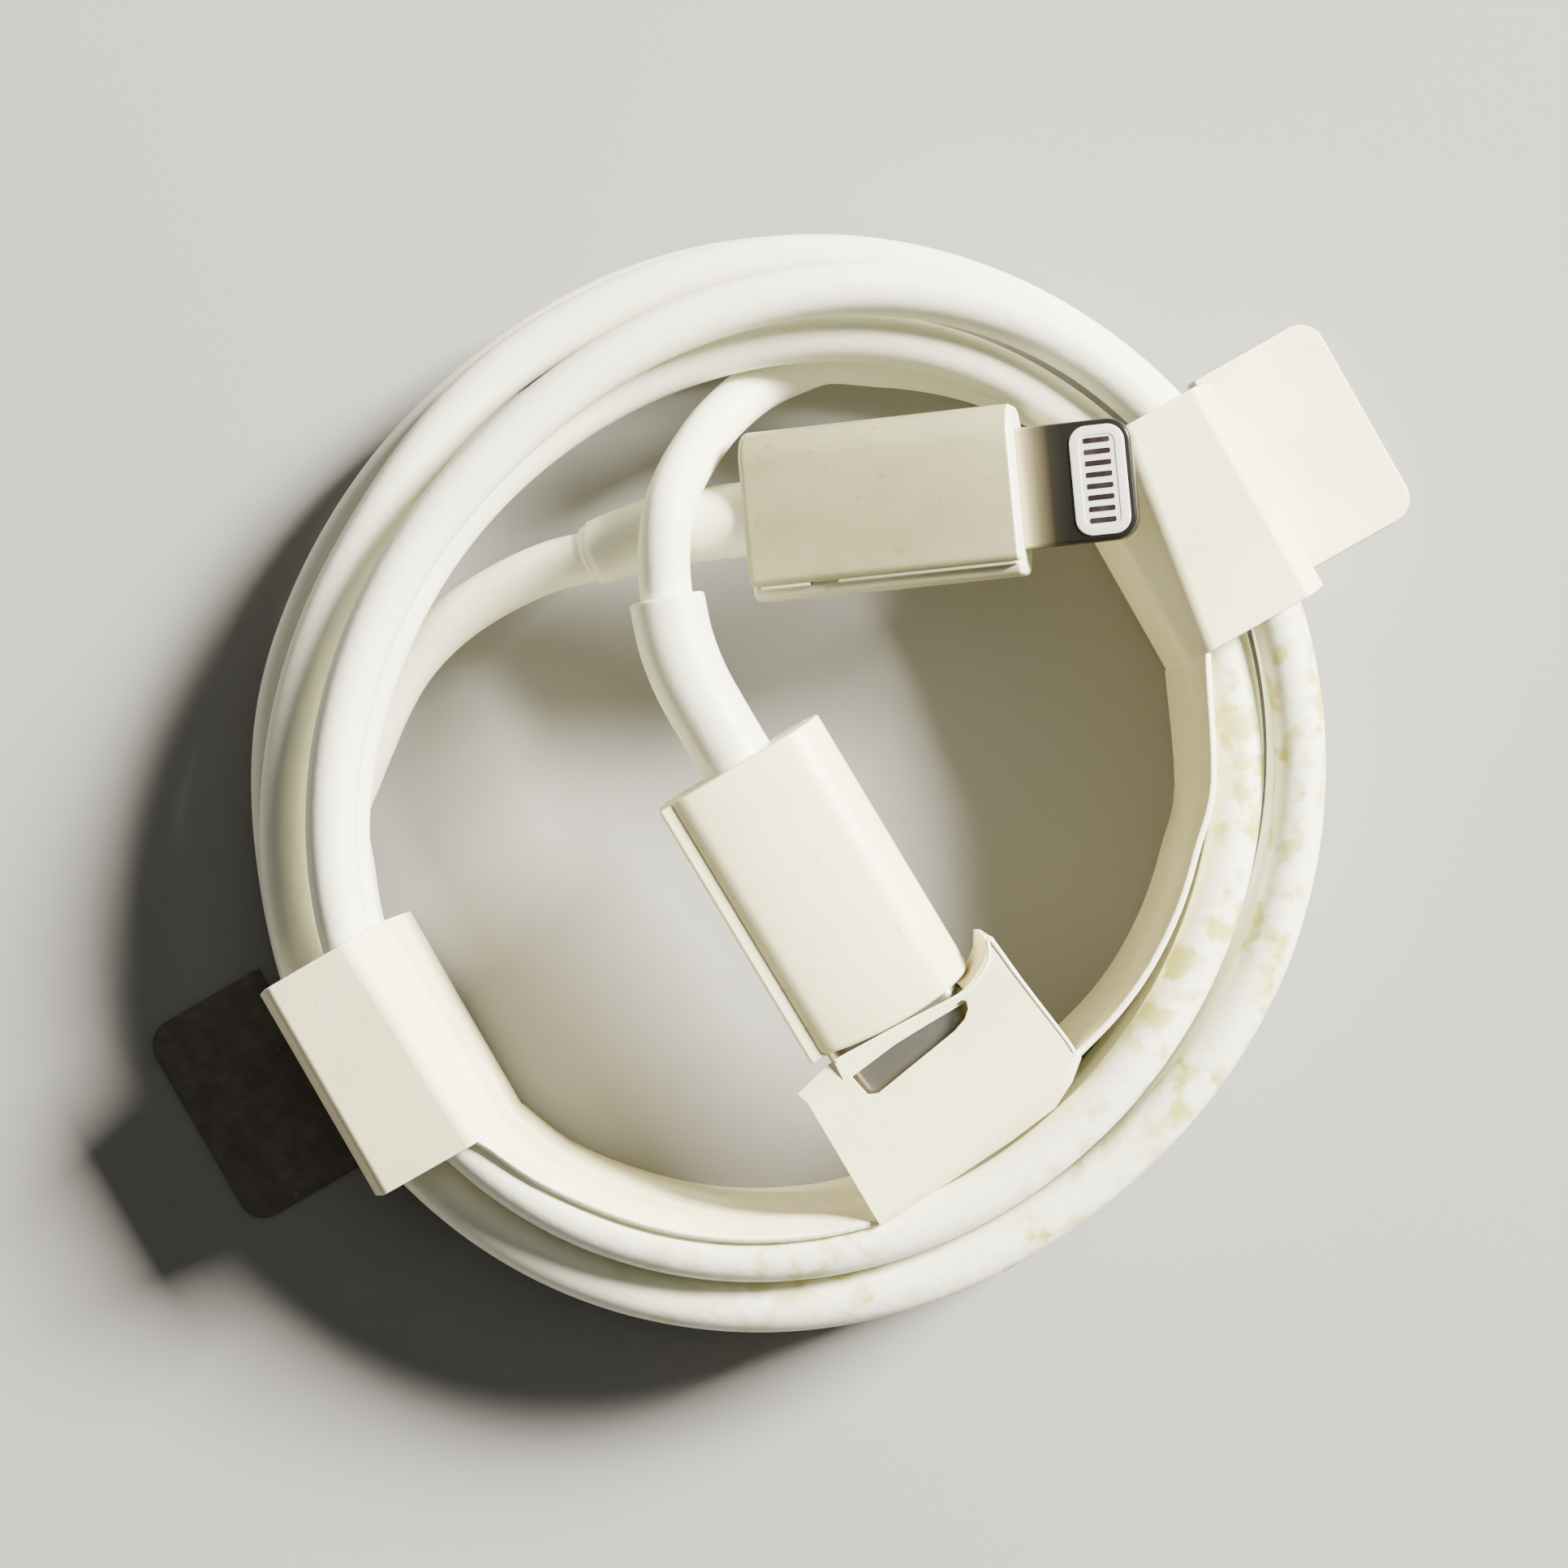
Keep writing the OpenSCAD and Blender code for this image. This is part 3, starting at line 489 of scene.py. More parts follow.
def bevelled(bm, geom, radius, segments, affect="EDGES"):
    """Rounds edges, or the corners of a flat sheet."""
    bmesh.ops.bevel(
        bm,
        geom=geom,
        offset=radius,
        segments=segments,
        profile=0.5,
        affect=affect,
        material=-1,
        clamp_overlap=True,
    )


def edges_of(faces):
    """The edges of some faces, each once."""
    return list({e for f in faces for e in f.edges})


LONG_EDGE_STEPS = 10
END_STEPS = 4
# A block is cut into strips along its length so that its back can be crowned, and its
# front end bulges from this far back.
BLOCK_STRIPS = 14
BULGE_REACH = 1


def moulded_block(ends, sides, faces, radii, soft_ends, crown=0.0, bulge=0.0, skew=0.0):
    """A block along X. The radii of its long edges go round from the upper right. Its back
    is crowned, and its front end bulges and runs out further on the right."""
    bm = bmesh.new()
    low = Vector((ends[0], sides[0], faces[0]))
    high = Vector((ends[1], sides[1], faces[1]))
    made = bmesh.ops.create_cube(bm, size=1)["verts"]
    bmesh.ops.scale(bm, vec=high - low, verts=made)
    bmesh.ops.translate(bm, vec=(high + low) / 2, verts=made)
    corners = ((high.y, high.z), (low.y, high.z), (low.y, low.z), (high.y, low.z))
    for (y, z), radius in zip(corners, radii):
        along = [
            e
            for e in bm.edges
            if all(abs(v.co.y - y) < 1e-5 and abs(v.co.z - z) < 1e-5 for v in e.verts)
        ]
        bevelled(bm, along, radius, LONG_EDGE_STEPS)
    for way, radius in zip((-1, 1), soft_ends):
        bm.normal_update()
        caps = {f for f in bm.faces if f.normal.x * way > 0.999}
        bevelled(bm, edges_of(caps), radius, END_STEPS)
    for k in range(1, BLOCK_STRIPS):
        y = low.y + (high.y - low.y) * k / BLOCK_STRIPS
        whole = bm.verts[:] + bm.edges[:] + bm.faces[:]
        bmesh.ops.bisect_plane(bm, geom=whole, plane_co=(0, y, 0), plane_no=(0, 1, 0))
    for vert in bm.verts:
        share = (2 * vert.co.y - low.y - high.y) / (high.y - low.y)
        vert.co.z -= math.copysign(crown * share * share, vert.co.z)
        if vert.co.x > high.x - BULGE_REACH:
            vert.co.x += bulge * (1 - share * share) + skew * share
    return bm


def pale_front(bm):
    """Marks the front face, which has a second, paler material as a painted highlight."""
    bm.normal_update()
    for face in bm.faces:
        face.material_index = int(face.normal.x > 0.35)


def made_piece(name, bm, place, sharp=40):
    """Turns a bmesh into a smooth-shaded object, with its place in its mesh."""
    bmesh.ops.transform(bm, matrix=place, verts=bm.verts)
    bmesh.ops.remove_doubles(bm, verts=bm.verts, dist=1e-7)
    bmesh.ops.recalc_face_normals(bm, faces=bm.faces)
    for face in bm.faces:
        face.smooth = True
    mesh = bpy.data.meshes.new(name)
    bm.to_mesh(mesh)
    bm.free()
    mesh.set_sharp_from_angle(angle=math.radians(sharp))
    piece = bpy.data.objects.new(name, mesh)
    bpy.context.scene.collection.objects.link(piece)
    return piece


# The charger plug's upper shell is broad and crowned, and curves down to the ledge.
rear = -CHARGER_BOOT_LENGTH
bm = moulded_block(
    ends=(rear, 0),
    sides=(-4.85, 5.15),
    faces=(-2.85, 2.9),
    radii=(2.3, 1.6, 0.5, 2.3),
    soft_ends=(0.12, 0.3),
    crown=0.62,
    bulge=0.5,
    skew=0.15,
)
charger_upper = made_piece("charger_boot_upper_shell", bm, charger_place)
rides(charger_upper, charger_plastic, "boot", "charger_boot")

bm = moulded_block(
    ends=(rear + 0.05, 0.1),
    sides=(-5.15, 3),
    faces=(-2.9, 1.95),
    radii=(0.2, 0.22, 2.3, 0.2),
    soft_ends=(0.12, 0.2),
)
charger_lower = made_piece("charger_boot_lower_shell", bm, charger_place)
rides(charger_lower, charger_plastic, "boot")

# The phone plug's shells meet lower down, with two thin lengths of flash along the
# joint. Their white plastic is painted dark as painted shade; the lower shell and the flash
# are painted lighter as painted light, and the front face paler still as a painted highlight.
rear = -PHONE_BOOT_LENGTH
bm = moulded_block(
    ends=(rear, 0),
    sides=(-4.0, 4.75),
    faces=(-2.55, 2.6),
    radii=(2.0, 0.45, 0.5, 1.5),
    soft_ends=(0.4, 0.3),
    crown=0.08,
)
pale_front(bm)
phone_upper = made_piece("phone_boot_upper_shell", bm, phone_place)
rides(phone_upper, phone_plastic_painted_shade, "boot", "phone_boot")
phone_upper.data.materials.append(relief_plastic)

bm = moulded_block(
    ends=(rear + 0.05, -0.05),
    sides=(-4.75, 3),
    faces=(-2.6, 1.8),
    radii=(0.3, 0.7, 1.5, 0.3),
    soft_ends=(0.4, 0.3),
)
pale_front(bm)
phone_lower = made_piece("phone_boot_lower_shell", bm, phone_place)
rides(phone_lower, phone_plastic_painted_light, "boot")
phone_lower.data.materials.append(relief_plastic)

for name, ends, top in (("long", (-10.3, -0.3), 2.2), ("short", (-14.7, -11.9), 2.22)):
    bm = moulded_block(
        ends=ends,
        sides=(-4.18, -3.9),
        faces=(1.6, top),
        radii=(0.05, 0.1, 0.05, 0.05),
        soft_ends=(0.04, 0.04),
    )
    flash = made_piece("phone_boot_flash_" + name, bm, phone_place)
    rides(flash, phone_plastic_painted_light, "boot")

# ---------------------------------------------------------------- phone plug's tip
# A blade of polished steel round a white insert. Eight contacts lie in the insert on
# each face, and its rim stands a hair above the field they lie in.
TIP_WIDTH = 6.7
TIP_THICK = 1.5
TIP_OUT = 6.4
TIP_IN = 4.0
TIP_CORNER = 1.3
TIP_EASED = 0.22
INSERT_MID = 4.52
INSERT_LENGTH = 3.05
INSERT_WIDTH = 6.05
INSERT_PROUD = 0.09
CONTACTS = 8
CONTACT_PITCH = 0.63

# Painted reflection: the steel is painted bright and warm by the boot and dark outward,
# between these distances from the boot.
SHEEN_FROM = 0.0004
SHEEN_TO = 0.0026
TIP_PAINTED_REFLECTION = [
    (0, (0.56, 0.49, 0.30)),
    (0.3, (0.22, 0.19, 0.12)),
    (0.65, (0.05, 0.045, 0.035)),
    (1, (0.03, 0.028, 0.025)),
]

tip_steel, tree, shader = new_material("tip_steel", (0.5, 0.48, 0.44), 0.22)
shader.inputs["Metallic"].default_value = 0.6
out_from_boot = along_direction(tree, tuple(phone_axis))
start = to_frame(PHONE_AT).dot(phone_axis)
painted_reflection = between(tree, out_from_boot, start + SHEEN_FROM, start + SHEEN_TO)
tone = ramp(tree, painted_reflection, TIP_PAINTED_REFLECTION)
tree.links.new(tone, shader.inputs["Base Color"])
bumped(tree, shader, object_noise(tree, 700, stretch=(1, 6, 1)), 0.06)


def flat_faces(bm):
    """The faces that look straight up or down."""
    bm.normal_update()
    return [f for f in bm.faces if abs(abs(f.normal.z) - 1) < 1e-3]


def blade(bm, x0, x1, width, thick, corner, rim):
    """Adds a flat bar with its front corners rounded and its edges eased."""
    made = bmesh.ops.create_cube(bm, size=1)["verts"]
    bmesh.ops.scale(bm, vec=(x1 - x0, width, thick), verts=made)
    bmesh.ops.translate(bm, vec=((x0 + x1) / 2, 0, 0), verts=made)
    upright = [
        e
        for v in made
        for e in v.link_edges
        if abs(e.verts[0].co.z - e.verts[1].co.z) > 1e-4 and e.verts[0].co.x > (x0 + x1) / 2
    ]
    bevelled(bm, list(set(upright)), corner, 10)
    bevelled(bm, edges_of(flat_faces(bm)), rim, 4)


bm = bmesh.new()
blade(bm, -TIP_IN, TIP_OUT, TIP_WIDTH, TIP_THICK, TIP_CORNER, TIP_EASED)
tip = made_piece("phone_tip_blade", bm, phone_place)
rides(tip, tip_steel, "steel", "phone_steel_tip")

insert_white = plain_finish(
    "insert_white", (0.78, 0.77, 0.78), (0.71, 0.69, 0.71), 0.4, grain=500, pitting=1800, bump=0.1
)


def rounded_plate(bm, length, width, thick, corner, middle):
    """Adds a flat plate with four rounded corners."""
    made = bmesh.ops.create_cube(bm, size=1)["verts"]
    bmesh.ops.scale(bm, vec=(length, width, thick), verts=made)
    bmesh.ops.translate(bm, vec=middle, verts=made)
    edges = {e for v in made for e in v.link_edges}
    upright = [e for e in edges if abs(e.verts[0].co.z - e.verts[1].co.z) > 1e-4]
    bevelled(bm, upright, corner, 8)


RIM_WIDTH = 0.5
RIM_SOFT = 0.08
RIM_SLOPE = 0.05
FIELD_SUNK = 0.04
INSERT_CORNER = 0.95
insert_thick = TIP_THICK + 2 * INSERT_PROUD
bm = bmesh.new()
rounded_plate(bm, INSERT_LENGTH, INSERT_WIDTH, insert_thick, INSERT_CORNER, (INSERT_MID, 0, 0))
bevelled(bm, edges_of(flat_faces(bm)), RIM_SOFT, 3)
for face in flat_faces(bm):
    bmesh.ops.inset_region(bm, faces=[face], thickness=RIM_WIDTH - RIM_SOFT, depth=0)
    bmesh.ops.inset_region(bm, faces=[face], thickness=RIM_SLOPE, depth=-FIELD_SUNK)
insert = made_piece("phone_contact_field", bm, phone_place, sharp=30)
rides(insert, insert_white, "boot", "phone_contact_insert")

contact_metal, tree, shader = new_material("contact_metal", (0.10, 0.085, 0.08), 0.4)
shader.inputs["Metallic"].default_value = 0.7
worn = between(tree, object_noise(tree, 900), 0.45, 0.65)
tone = mixed(tree, worn, (0.045, 0.032, 0.036), (0.09, 0.065, 0.065))
tree.links.new(tone, shader.inputs["Base Color"])

BAR_LENGTH = 1.45
BAR_WIDTH = 0.29
BAR_THICK = 0.05
BAR_CORNER = 0.08
bm = bmesh.new()
for side in (-1, 1):
    for i in range(CONTACTS):
        across = (i - (CONTACTS - 1) / 2) * CONTACT_PITCH
        height = side * (TIP_THICK / 2 + INSERT_PROUD - FIELD_SUNK)
        middle = (INSERT_MID, across, height)
        rounded_plate(bm, BAR_LENGTH, BAR_WIDTH, BAR_THICK, BAR_CORNER, middle)
contacts = made_piece("phone_contact_bars", bm, phone_place)
rides(contacts, contact_metal, "gold", "phone_contacts_top", "phone_contacts_bottom")

# ---------------------------------------------------------------- works inside the plugs
# What the boots hold: stamped steel, a board with its chips, and the soldered wires. The
# charger plug's oval shell stands out of its boot, with the contacts in its mouth.

# Each finish: its two tones, its roughness, how fine its grain and its pits are, and how
# deep the pits look.
# Painted shade: the shell's steel is painted darker than the stamped steel, for the shade under
# the flap.
shell_steel_painted_shade = plain_finish(
    "shell_steel_painted_shade", (0.36, 0.345, 0.31), (0.29, 0.28, 0.25), 0.32, 500, 1500, 0.08, metallic=0.95
)
stamped_steel = plain_finish(
    "stamped_steel", (0.62, 0.61, 0.58), (0.5, 0.5, 0.47), 0.3, 700, 2100, 0.1, metallic=1.0
)
black_moulding = plain_finish(
    "black_moulding", (0.03, 0.03, 0.033), (0.05, 0.05, 0.05), 0.5, 900, 2700, 0.2
)
gold_plating = plain_finish(
    "gold_plating", (0.83, 0.62, 0.25), (0.75, 0.54, 0.2), 0.25, 900, 2700, 0.05, metallic=1.0
)
board_lacquer = plain_finish(
    "board_lacquer", (0.02, 0.16, 0.07), (0.03, 0.2, 0.09), 0.3, 800, 2400, 0.15
)
bare_copper = plain_finish(
    "bare_copper", (0.72, 0.38, 0.2), (0.6, 0.3, 0.15), 0.35, 700, 2100, 0.1, metallic=1.0
)
inner_resin = plain_finish(
    "inner_resin", (0.72, 0.71, 0.66), (0.66, 0.65, 0.6), 0.5, 400, 1200, 0.2
)

for material, nodes in (
    (shell_steel_painted_shade, ("charger_shell",)),
    (stamped_steel, ("charger_latch_springs", "charger_ground_springs")),
    (stamped_steel, ("charger_shield_can", "phone_shield_can")),
    (black_moulding, ("charger_contact_housing", "charger_chip", "phone_chips")),
    (gold_plating, ("charger_contacts_top", "charger_contacts_bottom")),
    (board_lacquer, ("charger_circuit_board", "phone_circuit_board")),
    (bare_copper, ("charger_crimp_ferrule", "charger_core_wires")),
    (bare_copper, ("phone_crimp_ferrule", "phone_core_wires")),
    (inner_resin, ("charger_inner_mould", "phone_inner_mould")),
):
    for node in nodes:
        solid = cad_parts[node]
        solid.data.materials.clear()
        solid.data.materials.append(material)

# ---------------------------------------------------------------- card for the retainer
# Thin board, coated cream on its face and bare at its cut edges. It is creased, folded
# and tucked together without glue, and soft at the folds.
CARD = 0.4
WORN_EDGE = 0.11
CARD_WHITE = (0.88, 0.825, 0.56)
CARD_SHADE = (0.77, 0.71, 0.46)

card_face, tree, shader = new_material("card_face", CARD_WHITE, 0.62)
mottled = between(tree, object_noise(tree, 150, detail=6), 0.40, 0.66)
tone = mixed(tree, mottled, CARD_WHITE, CARD_SHADE)
scuffs = between(tree, object_noise(tree, 900, detail=2, stretch=(1, 0.25, 1)), 0.70, 0.76)
tone = mixed(tree, multiplied(tree, scuffs, 0.45), tone, (0.52, 0.46, 0.31))
tree.links.new(tone, shader.inputs["Base Color"])
bumped(tree, shader, object_noise(tree, 1300, detail=5), 0.18)

card_edge, tree, shader = new_material("card_edge", (0.91, 0.88, 0.70), 0.75)
tone = mixed(tree, object_noise(tree, 1600, detail=5), (0.93, 0.90, 0.73), (0.86, 0.83, 0.62))
tree.links.new(tone, shader.inputs["Base Color"])
bumped(tree, shader, object_noise(tree, 2500), 0.4)

# Painted shade: the left tab's white card painted near-black, standing for the coil's shadow on
# it.
card_dark, tree, shader = new_material("card_dark", (0.11, 0.102, 0.086), 0.7)
grain = between(tree, object_noise(tree, 900, detail=5), 0.35, 0.75)
tone = mixed(tree, grain, (0.083, 0.077, 0.065), (0.137, 0.127, 0.107))
flecks = between(tree, object_noise(tree, 1500, detail=2), 0.72, 0.76)
tone = mixed(tree, multiplied(tree, flecks, 0.5), tone, (0.20, 0.19, 0.155))
tree.links.new(tone, shader.inputs["Base Color"])
bumped(tree, shader, object_noise(tree, 1300, detail=5), 0.25)


def folded_card(
    name,
    bm,
    place,
    *nodes,
    finish=card_face,
    edge=card_edge,
    slot="card_white",
    body="cable_and_retainer",
):
    """Card from the middle of its sheet: it gets its thickness and its worn cut edges."""
    piece = made_piece(name, bm, place, sharp=35)
    solidify = piece.modifiers.new("card", "SOLIDIFY")
    solidify.thickness = CARD * MM
    solidify.offset = 0
    solidify.use_even_offset = True
    solidify.material_offset_rim = 1
    worn = piece.modifiers.new("worn edges", "BEVEL")
    worn.width = WORN_EDGE * MM
    worn.segments = 2
    worn.limit_method = "ANGLE"
    worn.angle_limit = math.radians(50)
    worn.material = 1
    even = piece.modifiers.new("even shading", "WEIGHTED_NORMAL")
    even.keep_sharp = True
    rides(piece, finish, slot, *nodes, body=body)
    piece.data.materials.append(edge)


# ---------------------------------------------------------------- wraps
# Each wrap is a sleeve of card round the coil, open at both ends. Its inner wall leans
# in at the foot, and a sloping panel joins it to the roof.
WRAP_WIDTH = 13.2
LEFT_TURN = 210
LEFT_OFFSET = 1.7
RIGHT_TURN = 29.5
RIGHT_OFFSET = 1.7
FOOT_INSET = 0.2
SHOULDER_HEIGHT = 5
FOLD_RADIUS = 0.35
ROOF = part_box("inner_band")[1][2] / MM

left_place = placed(LEFT_TURN)
right_place = placed(RIGHT_TURN)


def node_reach(turn, node):
    """The lowest and highest reach of a node along a direction from the coil's centre."""
    way = direction(turn, 0)
    points = [Vector(v.co) / MM - COIL_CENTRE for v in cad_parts[node].data.vertices]
    reach = [p.dot(way) for p in points]
    return min(reach), max(reach)


def wrap_section(inside, outside, fold, slope_height, ridge, drop, shoulder):
    """The middle of the card all round a wrap, from the foot outward and back over the roof."""
    room = [
        Vector((inside - FOOT_INSET, CARD)),
        Vector((outside, CARD)),
        Vector((outside, ROOF - SHOULDER_HEIGHT)),
        Vector((outside - shoulder, ROOF - drop)),
        Vector((inside + fold, ROOF + ridge)),
        Vector((inside, ROOF - slope_height)),
    ]
    middle = []
    for before, corner, after in zip(room[-1:] + room[:-1], room, room[1:] + room[:1]):
        a = (corner - before).normalized()
        b = (after - corner).normalized()
        out_a, out_b = Vector((a.y, -a.x)), Vector((b.y, -b.x))
        middle.append(corner + CARD / 2 * (out_a + out_b) / (1 + out_a.dot(out_b)))
    return middle


def next_row(bm, row, closed=False):
    """Extrudes the edge along a row of a sheet's vertices, and gives the new row."""
    pairs = zip(row, row[1:] + row[:1] if closed else row[1:])
    edges = [bm.edges.get(pair) or bm.edges.new(pair) for pair in pairs]
    grown = bmesh.ops.extrude_edge_only(bm, edges=edges)["geom"]
    moved = [g for g in grown if isinstance(g, bmesh.types.BMVert)]
    return [min(moved, key=lambda v: (v.co - old.co).length) for old in row]


def wrap_sheet(near, far, offset):
    """A wrap's sheet, from its section at one end to that at the other."""
    y0, y1 = offset - WRAP_WIDTH / 2, offset + WRAP_WIDTH / 2
    bm = bmesh.new()
    corners = [bm.verts.new((u, y0, z)) for u, z in near]
    for vert, (u, z) in zip(next_row(bm, corners, closed=True), far):
        vert.co = Vector((u, y1, z))
    creases = [e for e in bm.edges if abs(e.verts[0].co.y - e.verts[1].co.y) > 1]
    bevelled(bm, creases, FOLD_RADIUS, 5)
    return bm


left_low, left_high = node_reach(LEFT_TURN, "left_wrap")
right_low, right_high = node_reach(RIGHT_TURN, "right_wrap")
left_in, left_out = left_low + CARD + FOOT_INSET, left_high - CARD
right_in, right_out = right_low + CARD + FOOT_INSET, right_high - CARD

# The roof's inner fold runs askew: it is wider at one end of each wrap than at the other.
roof = {"slope_height": 0.85, "ridge": 0.55, "drop": 0.6, "shoulder": 0.9}
near = wrap_section(left_in, left_out, fold=2.2, **roof)
far = wrap_section(left_in, left_out, fold=1.6, **roof)
folded_card("left_card_wrap", wrap_sheet(near, far, LEFT_OFFSET), left_place, "left_wrap")

roof = {"slope_height": 2, "ridge": 0, "drop": 0, "shoulder": 1.4}
near = wrap_section(right_in, right_out, fold=0.9, **roof)
far = wrap_section(right_in, right_out, fold=2.85, **roof)
folded_card("right_card_wrap", wrap_sheet(near, far, RIGHT_OFFSET), right_place, "right_wrap")

# ---------------------------------------------------------------- tabs
# A tab lies on the table in front of each wrap and folds up about its crease. The left
# one is painted near-black as painted shade, the coil's shadow on its white card; the right
# one shows its white side.
TAB_WIDTH = 13.0
TAB_LENGTH = 7.8
TAB_CORNER = 1.5
LEFT_TAB_OFFSET = LEFT_OFFSET - 1.6
RIGHT_TAB_OFFSET = RIGHT_OFFSET + 0.9


def tab_sheet(turn, node, middle):
    """The sheet of a tab, with its two outer corners rounded."""
    inner, _ = node_reach(turn, node)
    bm = bmesh.new()
    made = bmesh.ops.create_grid(bm, x_segments=1, y_segments=1, size=0.5)["verts"]
    bmesh.ops.scale(bm, vec=(TAB_LENGTH, TAB_WIDTH, 1), verts=made)
    bmesh.ops.translate(bm, vec=(inner + TAB_LENGTH / 2, middle, CARD / 2), verts=made)
    outer = [v for v in bm.verts if v.co.x > inner + 1]
    bevelled(bm, outer, TAB_CORNER, 8, affect="VERTICES")
    return bm


folded_card(
    "left_card_tab",
    tab_sheet(LEFT_TURN, "left_tab", LEFT_TAB_OFFSET),
    left_place,
    "left_tab",
    finish=card_dark,
    edge=card_dark,
    slot="card_dark",
    body="left_tab_body",
)
folded_card(
    "right_card_tab",
    tab_sheet(RIGHT_TURN, "right_tab", RIGHT_TAB_OFFSET),
    right_place,
    "right_tab",
    body="right_tab_body",
)

# ---------------------------------------------------------------- inner band
# A strip of the same card stands inside the coil, from the left wrap round to the right
# one. Its foot leans in, and left of the holder its rim curls out over the cord.
BAND_FOOT_INSET = 0.5
BAND_GAP = 0.25
# The holder folds in from the band's rim between these two directions.
HOLDER_FIRST = 281.6
HOLDER_LAST = 318
# Each direction that the band passes, and how far it stands in from the coil there.
BAND_STOPS = [(238, 0), (247, 0), (256, 0), (265, 0), (274, 0), (HOLDER_FIRST, 0)]
BAND_STOPS += [(HOLDER_LAST, 0.95), (326, 0.6), (334, 0.35), (343, 0.2), (352, 0.15), (361, 0.05)]
CURL_HEIGHT = 2.2
# The curl of the rim: each step's height below the rim, and how far it leans out.
RIM_CURL = [(CURL_HEIGHT, 0), (1.5, 0.12), (0.9, 0.36), (0.4, 0.65), (0, 0.9)]
BAND_ROWS = [(8, 0), (4, 0)] + RIM_CURL
# Where it meets a wrap: the gap beside it, how far it stands in, the share of the band
# over which it takes on the wrap's own shape, and the left wrap's extra curl and rise.
JOIN_GAP = 0.03
JOIN_INSET = 0.05
JOIN_SHARE = 0.35
JOIN_CURL = 0.8
JOIN_RISE = 0.4


def nearest_turn(turn):
    """The inside of the coil's nearest turn at a direction."""
    radii = []
    angle = turn
    while angle <= COIL_END:
        if angle >= COIL_FROM:
            point = coil_point(angle)
            radii.append(math.hypot(point.x, point.y))
        angle += 360
    return min(radii) - CORD_RADIUS


def on_floor(radius, turn):
    """A point on the table, from its distance and direction from the coil's centre."""
    turn = math.radians(turn)
    return Vector((radius * math.cos(turn), radius * math.sin(turn), 0))


left_edge = LEFT_OFFSET + WRAP_WIDTH / 2 + JOIN_GAP
right_edge = WRAP_WIDTH / 2 - RIGHT_OFFSET + JOIN_GAP
band_first = LEFT_TURN + math.degrees(math.atan2(left_edge, left_in))
band_last = 360 + RIGHT_TURN - math.degrees(math.atan2(right_edge, right_in))
first_r = left_in / math.cos(math.radians(band_first - LEFT_TURN)) - JOIN_INSET
last_r = right_in / math.cos(math.radians(band_last - 360 - RIGHT_TURN)) - JOIN_INSET
stops = [(t, nearest_turn(t) - BAND_GAP - inset) for t, inset in BAND_STOPS]
stops = [(band_first, first_r)] + stops + [(band_last, last_r)]

stop_points = [on_floor(r - CARD / 2, t) for t, r in stops]
split = 1 + next(i for i, (t, _) in enumerate(stops) if t == HOLDER_FIRST)
left_line = smooth_route(stop_points[:split], 4)
right_line = smooth_route(stop_points[split:], 4)
rim_line = left_line + right_line


def joining(line, turn):
    """For each point of the band from a wrap on: the way it leans, how much of the wrap's
    shape it takes on, and how far in its foot stands."""
    for i, point in enumerate(line):
        joined = max(0, 1 - i / (JOIN_SHARE * len(line)))
        way = point.normalized().lerp(on_floor(1, turn), joined).normalized()
        yield way, joined, BAND_FOOT_INSET + joined * (FOOT_INSET - BAND_FOOT_INSET)


# How each point of the rim leans: which way, how much it curls, how far it rises, and
# its foot's inset.
leans = [
    (way, 1 + JOIN_CURL * joined**2, JOIN_RISE * joined**2, inset)
    for way, joined, inset in joining(left_line, LEFT_TURN)
]
right_leans = [
    (way, joined**1.5, 0, inset) for way, joined, inset in joining(right_line[::-1], RIGHT_TURN)
]
leans += right_leans[::-1]

bm = bmesh.new()
row = [bm.verts.new(p - inset * way) for p, (way, _, _, inset) in zip(rim_line, leans)]
for below, out in BAND_ROWS:
    row = next_row(bm, row)
    for vert, point, (way, curl, rise, inset) in zip(row, rim_line, leans):
        height = ROOF - below
        lean = inset * max(0, 1 - height / (ROOF - CURL_HEIGHT))
        height += rise * max(0, 1 - below / CURL_HEIGHT)
        vert.co = point + (out * curl - lean) * way + Vector((0, 0, height))
folded_card("inner_card_band", bm, placed(0), "inner_band")

# ---------------------------------------------------------------- plug holder
# A flap folded in from the band's rim. The charger plug's metal shell passes through a
# window in its front lip, and a slot in the flap shows the shell.
HOLDER_TURN = -50
FLAP_HEIGHT = ROOF + CARD / 2
holder_place = placed(HOLDER_TURN)
# The front edge runs from the cut beside the slot to the curled right corner.
FRONT_EDGE = [
    (13.15, -7.7),
    (13.5, -5.85),
    (13.87, -4.0),
    (14.3, -2.1),
    (14.68, -0.45),
    (14.8, 0.4),
    (14.74, 1.2),
    (14.52, 1.95),
    (14.15, 2.6),
    (13.4, 3.25),
]
FOLD_EDGE = [(21.35, 2.85), (21.5, 1.6), (21.55, 0), (21.45, -3), (21.4, -8), (21.5, -11.55)]
# How wide and how deep the card bends down from the flap, at each point of that edge.
BEND_STEPS = 5
BEND = [(0.35, 0.8), (1.0, 1.6), (1.5, 2.2), (1.45, 2.2), (0.85, 1.6), (0.15, 0.4)]
# The short flange left of the slot: its fold, and its foot with the drop to it.
LEFT_FOLD = [(14.05, -10.3), (14.35, -7.95)]
LEFT_FOOT = [(13.36, -10.45, 0.6), (13.2, -7.85, 0.35)]
